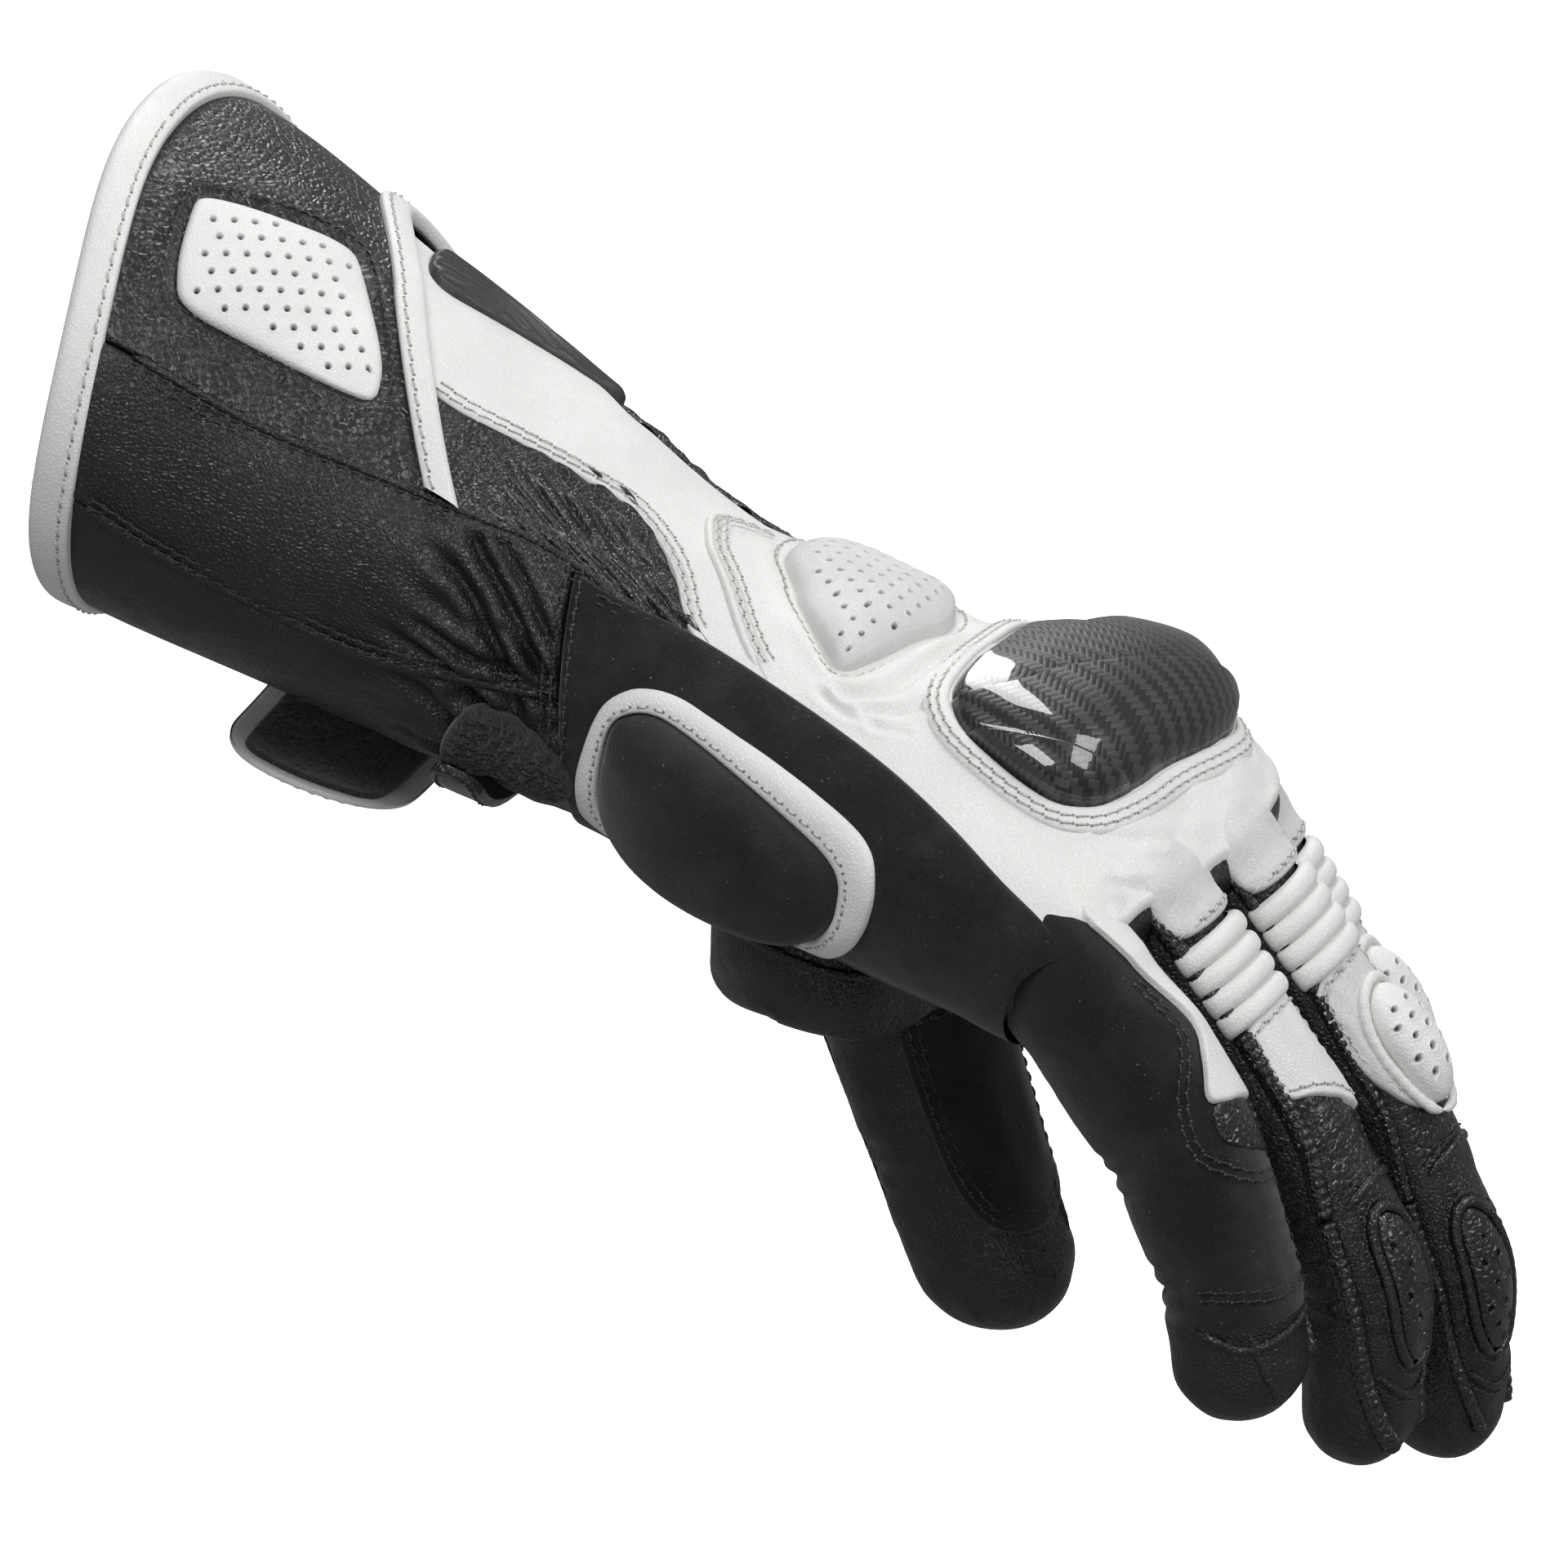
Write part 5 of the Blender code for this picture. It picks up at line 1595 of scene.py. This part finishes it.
def stretch_back(name, place):
    """A textured tab off the hand, a gap, then four soft ribs across the back of the finger."""
    tab = ((-11, -44), (-12, 0), (-11, 44), (-7, 52), (2.0, 51), (3.0, 0), (2.4, -50), (-6, -54))
    ruffle = uneven(71, 3.4, 0.4)

    def laid(s, a):
        return (
            ruffle(s, np.asarray(a) * 0.28) + 1.5 * ease((-s - 1) / 6) - 0.7 * ease((-s - 9) / 3)
        )

    made = patch(
        f"{name}_root_tab", "white_textured_leather", place, tab, 1.9, half=44, arc=FINGER_ARC,
        drop=2.2, roll=1.1, relief=laid
    )
    settle(made, name + "_root")
    edge = [(1.0, a) for a in np.linspace(46, -46, 14)]
    seam(name + "_root", "white_thread", place, edge, 1.9, (0,), radius=0.26)
    starts = [RIB_START + RIB_PITCH * k for k in range(4)]
    rows = [np.linspace(at, RIB_START + RIB_PITCH * (k + 1), 13) for k, at in enumerate(starts)]
    s = np.concatenate([row[:-1] for row in rows[:3]] + rows[3:])
    u = ((s - RIB_START) / RIB_PITCH) % 1.0
    u[-1] = 1.0
    rib = (1 - np.abs(2 * u - 1) ** 2.6) ** 0.5
    t = np.concatenate(
        [[-1, -0.99, -0.97, -0.94, -0.9], np.linspace(-0.85, 0.85, 30), [0.9, 0.94, 0.97, 0.99, 1]]
    )
    end = (1 - np.abs(t) ** 9) ** 0.5
    angle = t[None, :] * (56 + 3.0 * rib[:, None])
    offset = 0.75 + 2.1 * rib[:, None] * end[None, :]
    points = place(s[:, None], angle, offset - 0.5 * (1 - end[None, :]))
    ribs = skin(f"{name}_stretch_ribs", points, "white_leather")
    settle(ribs, name + "_root", (name + "_stretch_panel",))


def knuckle_back(name, place):
    """White leather over the middle joint: flat on the ring finger, padded on the others."""
    joint = FINGERS[name][2][0]
    corners = (
        (21.5, -50), (21.0, 0), (21.5, 44), (28, 49), (joint - 7, 50), (joint - 5.0, 20),
        (joint - 2.5, 0), (joint + 1, -22), (joint + 3, -50), (joint - 8, -54)
    )
    if name != "ring":
        corners = (
            (21.0, -50), (20.5, 0), (21.5, 48), (28, 58), (joint - 6, 60), (joint + 1.5, 40),
            (joint + 4.5, 15), (joint + 4.5, -15), (joint + 1.5, -40), (joint - 6, -54), (28, -50)
        )
    finish = "white_leather" if name == "ring" else "white_textured_leather"
    key = name + "_middle"
    replaced = ("ring_knuckle_panel",) if name == "ring" else (name + "_knuckle_pad",)
    made = patch(
        f"{name}_joint_leather", finish, place, corners, 1.35, half=44, arc=FINGER_ARC, drop=1.7,
        roll=0.9, relief=uneven(74, 8.0, 0.25 if name == "ring" else 0.5)
    )
    settle(made, key, replaced)
    rim = rounded_outline(corners, 110, arc=FINGER_ARC)
    ringed(key, "white_thread", place, rim, 1.4, (1.9,), arc=FINGER_ARC, radius=0.22)
    if name == "ring":
        return
    middle = joint - 6.5
    turn = np.radians(np.arange(0, 360, 30))
    pad = np.stack([middle + 11.5 * np.cos(turn), 31 * np.sin(turn) - 2], axis=1)
    rim = rounded_outline(pad, 110, arc=FINGER_ARC)
    rows = (middle - 9, middle + 10, 3.0)
    spots = perforations(rim, rows, (-26, 30, 14), 7, 2.2, FINGER_ARC)
    cushion = patch(
        f"{name}_knuckle_cushion", "white_pad_leather", place, pad,
        lambda f: 1.9 + 3.7 * (1 - f**2.8) ** 0.8, half=48, arc=FINGER_ARC, drop=1.3, roll=1.2,
        holes=(spots, 0.5, 0.8)
    )
    settle(cushion, key)
    edge = inset(rim, -1.3, FINGER_ARC)
    corded(key, "white_leather", place, edge, 1.5, 1.1, 0.9, True, whip=0.12, pitch=2.4)


def vent_insert(name, place):
    """A long oval window of perforated black leather over the last joint, in a raised welt."""
    _, _, lengths, *_ = FINGERS[name]
    middle = lengths[0] + lengths[1] + 1.5
    turn = np.radians(np.arange(0, 360, 24))
    lean = {"ring": 8.0, "middle": 18.0}.get(name, 6.0)
    oval = np.stack(
        [middle + 13.0 * np.cos(turn), lean + 26 * np.sin(turn) - 6 * np.cos(turn)], axis=1
    )
    rim = rounded_outline(oval, 110, arc=TIP_ARC)
    rows = (middle - 10, middle + 11, 3.3)
    spots = perforations(rim, rows, (-24, 34, 18), 9, 1.9, TIP_ARC)
    made = patch(
        f"{name}_vent_window", "glossy_black_leather", place, oval,
        lambda f: 0.9 + 0.9 * (1 - f**3), half=46, arc=TIP_ARC, drop=1.0, roll=1.0,
        holes=(spots, 0.5, 0.9)
    )
    settle(made, name + "_end", (name + "_vent_insert",))
    edge = inset(rim, -0.9, TIP_ARC)
    corded(name + "_end", "soft_black_leather", place, edge, 0.4, 1.15, 1.05, True, whip=0.08)
    ringed(name + "_end", "black_thread", place, rim, 0.5, (-2.7,), arc=TIP_ARC, radius=0.19)


def little_details(place):
    """White triangle and grained patch on the little finger, with the suede's double stitching."""
    white = (
        (-12, -44), (-10, 10), (0, 2), (10, -6), (17, -8), (23, 6), (29, 26), (30.5, 6),
        (31.5, -16), (33, -46), (20, -50)
    )
    made = patch(
        "little_white_leather", "white_leather", place, white, 1.5, half=40, arc=LITTLE_ARC,
        drop=1.3, roll=0.8, cuts=2, centre=(20, -30)
    )
    settle(made, "little_root", ("little_back_panel",))
    dark = ((29, 21), (31, -14), (33, -44), (41, -46), (40, -20), (37, 12), (34, 32))
    made = patch(
        "little_grained_patch", "glossy_black_leather", place, dark, 0.55, half=30, arc=LITTLE_ARC,
        drop=1.0, roll=0.8, cuts=2
    )
    settle(made, "little_middle")
    keyed, _ = finger_keys("little")
    row = (
        (4, 2), (17, 6), (27, 38), (34, 47), (38, 30), (41.5, 2), (44, -26), (52, -44), (61, -36),
        (62, 16), (61, 52), (60, 86)
    )
    points, normals, flat = trace(place, row, 0.15)
    for shift in (0.0, -1.7):
        line = sideways(points, normals, shift)
        SEWN.stitches("", "black_thread", line, normals, radius=0.22, keys=along_keys(keyed, flat))
    for line in (((66, 95), (70, 60), (69, 20), (66, -50)), ((67, 52), (76, 40), (84, 22))):
        corded("little_end", "smooth_black_leather", place, line, 0.0, 0.9, 0.8, whip=0.15)


def make_thumb():
    """The thumb: its lofted root, its end, the suede grip, the white back and the side seams."""
    k = np.linspace(0, 1, 46)[:, None]
    angles = np.linspace(-180, 180, 120, endpoint=False)[None, :]

    def root_folds(t, a):
        around = a * THUMB_ARC
        run = t * 34
        ripple = np.sin(run * 0.85 + 2.0 * even_noise(run, around, 10.0, 81)) * 0.8
        return (
            (ripple + 0.9 * even_noise(run, around, 6.0, 82))
            * np.sin(np.pi * np.clip(t, 0, 1)) ** 0.8
        )

    flare = thumb_flare(k, angles, root_folds(k, angles))
    root_rows = np.linspace(THUMB_JOIN, THUMB_BONES[0] / 2, 6)[1:, None]

    def thumb_relief(s, a):
        around = a * THUMB_ARC
        under = np.clip(np.cos(np.radians(a + 90)) + 0.2, 0, 1)
        total = 0.4 * even_noise(s, around, 9.0, 84) + 0.15 * even_noise(s, around, 3.0, 85)
        for at in (THUMB_BONES[0] - 5, THUMB_BONES[0], THUMB_BONES[0] + 5):
            total -= 0.7 * under * np.exp(-(((s - at) / 1.7) ** 2))
        return total

    grow = ease((root_rows - THUMB_JOIN) / 6)
    straight = thumb_place(root_rows, angles, thumb_relief(root_rows, angles) * grow)
    root = skin(
        "thumb_root_leather", np.concatenate([flare, straight]), "smooth_black_leather", wrap=True,
        caps=(0,)
    )
    settle(root, "thumb_root", ("thumb_base_shell",))
    total = sum(THUMB_BONES)
    rows = np.linspace(THUMB_BONES[0] / 2, total - TIP_DOME, 66)
    turn = np.radians(np.linspace(0, 89, 18))[1:]
    rows = np.concatenate([rows, total - TIP_DOME + TIP_DOME * np.sin(turn)])[:, None]
    fade = ease((total - rows) / 8)
    body = thumb_place(rows, angles, thumb_relief(rows, angles) * fade)
    tip = skin("thumb_end_leather", body, "smooth_black_leather", wrap=True, caps=(-1,))
    settle(tip, "thumb_end", ("thumb_tip_shell",))

    grip = (
        (27, 50), (26.5, 90), (26.5, 130), (27, 160), (36, 163), (50, 162), (63, 158), (72, 146),
        (76, 125), (77, 100), (75, 70), (68, 50), (50, 42), (34, 42)
    )
    made = patch(
        "thumb_grip_suede", "black_suede", thumb_place, grip, 1.0, half=54, arc=THUMB_ARC,
        drop=1.5, roll=0.9, relief=uneven(88, 12.0, 0.4)
    )
    settle(made, "thumb_end", ("thumb_grip_patch",))
    rim = rounded_outline(grip, 140, arc=THUMB_ARC)
    ringed(
        "thumb_end", "black_thread", thumb_place, rim, 1.05, (2.0, 3.7), arc=THUMB_ARC, radius=0.22
    )
    back = ((14, -34), (14, 34), (55, 32), (58, 0), (55, -32))
    made = patch(
        "thumb_back_leather", "white_leather", thumb_place, back, 1.2, half=40, arc=THUMB_ARC,
        drop=1.6, roll=0.9, relief=uneven(89, 9.0, 0.3)
    )
    settle(made, "thumb_end", ("thumb_back_panel",))
    ringed(
        "thumb_end", "white_thread", thumb_place, rounded_outline(back, 120, arc=THUMB_ARC), 1.25,
        (1.9,), arc=THUMB_ARC, radius=0.22
    )
    for angle in (66, -72, -112):
        line = [(s, angle) for s in np.linspace(33, total - 16, 24)]
        corded("thumb_end", "smooth_black_leather", thumb_place, line, 0.0, 0.9, 0.7, whip=0.1)
    edge = np.linspace(0, 360, 150)
    foot = thumb_flare(np.full(150, 0.06), edge, 0.3)
    out = unit(thumb_flare(np.full(150, 0.06), edge, 1.3) - foot)
    SEWN.cord("thumb_root", "smooth_black_leather", foot, out, 1.1, 0.8, whip=0.12)


def closure_place(middle_x, start, opened):
    """Places on a flap or strap: the glove's surface turned open about its sewn edge."""
    pivot = glove(np.array([middle_x]), np.array([start]), 3.6)[0]
    c, s = math.cos(math.radians(opened)), math.sin(math.radians(opened))
    turn = np.array(((1, 0, 0), (0, c, -s), (0, s, c)))

    def place(x, angle, offset=0.0):
        return (glove(x, angle, offset) - pivot) @ turn.T + pivot

    return place


def make_closures():
    """The cuff flap, hanging a little open, the wrist strap, and their hook and loop patches."""
    flap = closure_place(62.0, 206.0, 14.0)
    turn = np.linspace(0, np.pi, 15)
    nose = np.stack([62 + 19.0 * np.cos(turn), 160 - 21.5 * np.sin(turn)], axis=1)
    outline = (
        [(81.2, 205.5), (81.2, 180)] + [tuple(p) for p in nose] + [(42.8, 180), (42.8, 205.5)]
    )
    outer = patch(
        "cuff_flap_leather", "grey_white_leather", flap, outline, 4.3, half=46, drop=1.3, roll=1.0,
        relief=uneven(91, 12.0, 0.5)
    )
    settle(outer, "cuff_flap", ("cuff_flap",))
    rim = rounded_outline(outline, 160)
    ringed("cuff_flap", "white_thread", flap, rim, 4.35, (2.2,), radius=0.23)
    inner = patch(
        "cuff_flap_lining", "grey_white_leather", flap, outline, 2.9, half=30, drop=-0.3, roll=1.0,
        scale=0.985, turned=True
    )
    settle(inner, "cuff_flap")
    hooks = ((48.5, 146), (47, 160), (46.5, 203), (77.5, 203), (77, 160), (75.5, 146), (62, 141.5))
    made = patch(
        "cuff_flap_hooks", "fuzz", flap, hooks, 1.9, half=80, drop=-0.9, roll=0.8, turned=True,
        relief=uneven(92, 0.5, 0.22)
    )
    settle(made, "cuff_flap", ("cuff_hook_patch",))
    loops = ((46, 150), (46, 190), (76, 190), (76, 150))
    made = patch(
        "cuff_loops", "fuzz", glove, loops, 1.4, half=80, drop=1.4, relief=uneven(93, 0.6, 0.3)
    )
    settle(made, "gauntlet", ("cuff_loop_patch",))

    strap = closure_place(92.5, 226.0, 0.0)
    corners = (
        (87.0, 225), (87.0, 180), (86.8, 128), (88.5, 118.5), (96.5, 118.5), (98.2, 128),
        (98.2, 180), (98.2, 225)
    )
    made = patch(
        "wrist_strap_leather", "soft_black_leather", strap, corners, 4.6, half=50, drop=1.6,
        roll=1.0, relief=uneven(94, 10.0, 0.3)
    )
    settle(made, "wrist_strap", ("wrist_strap",))
    rim = rounded_outline(corners, 200)
    ringed("wrist_strap", "black_thread", strap, rim, 4.65, (1.5,), radius=0.2)
    under = patch(
        "wrist_strap_underside", "fuzz", strap, corners, 2.9, half=30, drop=-0.4, turned=True
    )
    settle(under, "wrist_strap", ("strap_hook_patch",))
    fuzzy = (
        (91, 90), (103, 90), (110, 94), (115, 106), (112.5, 119), (99, 116), (88, 132), (87.5, 112)
    )

    def pile(x, a):
        return uneven(95, 0.55, 0.55)(x, a) + uneven(96, 1.6, 0.35)(x, a)

    fleck = patch(
        "wrist_loop_pile", "fuzz", glove, fuzzy, lambda f: 1.9 + 0.3 * (1 - f**2), half=95,
        drop=1.9, roll=1.2, relief=pile
    )
    settle(fleck, "wrist", ("wrist_loop_patch",))


LINING_DEPTH = -3.4


def make_linings():
    """Knitted linings just inside the leather, seen through the cuff."""
    angles = np.linspace(0, 360, 180, endpoint=False)[None, :]

    def tube(name, start, end, key, node):
        t = np.linspace(0, 1, 90)[:, None]
        first, last = start(angles), end(angles)
        x = first * (1 - t) + last * t
        knit = (
            0.14 * np.sin(angles * 2.0) * np.sin(x * 2.6)
            + 0.5 * even_noise(x, angles * ARC, 14.0, 97)
        )
        points = glove(x, angles, LINING_DEPTH + knit)
        made = skin(name, points, "lining_knit", wrap=True, turned=True)
        settle(made, key, (node,))

    tube(
        "cuff_lining_knit", lambda a: cuff_edge(a) + 3.0, lambda a: 118 + 0 * a, "wrist",
        "gauntlet_lining"
    )
    tube(
        "hand_lining_knit", lambda a: 117 + 0 * a, lambda a: hand_end(a) - 4, "wrist",
        "hand_lining"
    )


def make_stage():
    """A wide pale floor under the glove, soft lights round it and a long lens on it."""
    mesh = bpy.data.meshes.new("studio_floor")
    half = 6
    corners = [(-half, -half, 0), (half, -half, 0), (half, half, 0), (-half, half, 0)]
    mesh.from_pydata(corners, [], [(0, 1, 2, 3)])
    floor = bpy.data.objects.new("studio_floor", mesh)
    floor.location.z = float(cad_box[0][2]) - 0.012
    bpy.context.scene.collection.objects.link(floor)
    pale = bpy.data.materials.new("pale_floor")
    pale.use_nodes = True
    shader = pale.node_tree.nodes["Principled BSDF"]
    shader.inputs["Base Color"].default_value = (0.93, 0.93, 0.93, 1)
    shader.inputs["Roughness"].default_value = 0.9
    shader.inputs["Specular IOR Level"].default_value = 0.1
    shader.inputs["Emission Color"].default_value = (1, 1, 1, 1)
    shader.inputs["Emission Strength"].default_value = 1.1
    mesh.materials.append(pale)
    floor.visible_diffuse = False
    floor.visible_glossy = False

    world = bpy.data.worlds.new("studio")
    world.use_nodes = True
    sky = world.node_tree.nodes["Background"]
    sky.inputs["Color"].default_value = (1, 1, 1, 1)
    sky.inputs["Strength"].default_value = 0.24
    bpy.context.scene.world = world

    look = np.array((0.145, 0.0, -0.03))

    def softbox(name, place, wide, high, power):
        light = bpy.data.lights.new(name, "AREA")
        light.shape = "RECTANGLE"
        light.size, light.size_y, light.energy = wide, high, power
        made = bpy.data.objects.new(name, light)
        made.location = place
        way = Vector(look - np.array(place))
        made.rotation_euler = way.to_track_quat("-Z", "Y").to_euler()
        bpy.context.scene.collection.objects.link(made)

    softbox("key_softbox", (-0.25, -0.75, 1.25), 0.7, 0.5, 10.5)
    softbox("top_softbox", (0.75, 0.35, 1.1), 0.8, 0.5, 7.5)
    softbox("back_strip", (-0.45, 0.95, 0.6), 0.25, 1.1, 7.0)
    softbox("front_fill", (0.9, -1.1, 0.25), 1.0, 1.0, 2.0)

    right = np.array((0.8667, 0.4081, 0.2868))
    up = np.array((-0.4557, 0.4138, 0.7881))
    away = np.cross(right, up)
    distance, view_width = 3.0, 0.2909
    middle = right * 0.1167 - up * 0.0811 + away * 0.01
    camera = bpy.data.cameras.new("glove_camera")
    camera.sensor_width = 36.0
    camera.lens = camera.sensor_width * distance / view_width
    camera.clip_end = 30.0
    camera.dof.use_dof = False
    made = bpy.data.objects.new("glove_camera", camera)
    turn = Matrix(np.stack([right, up, away], axis=1).tolist()).to_4x4()
    made.matrix_world = Matrix.Translation(Vector(middle + away * distance)) @ turn
    bpy.context.scene.collection.objects.link(made)
    bpy.context.scene.camera = made
    bpy.context.scene.view_settings.view_transform = "Standard"


make_gauntlet()
make_hand()
for _name in FINGERS:
    make_finger(_name)
make_thumb()
make_closures()
make_linings()
SEWN.build()
make_stage()
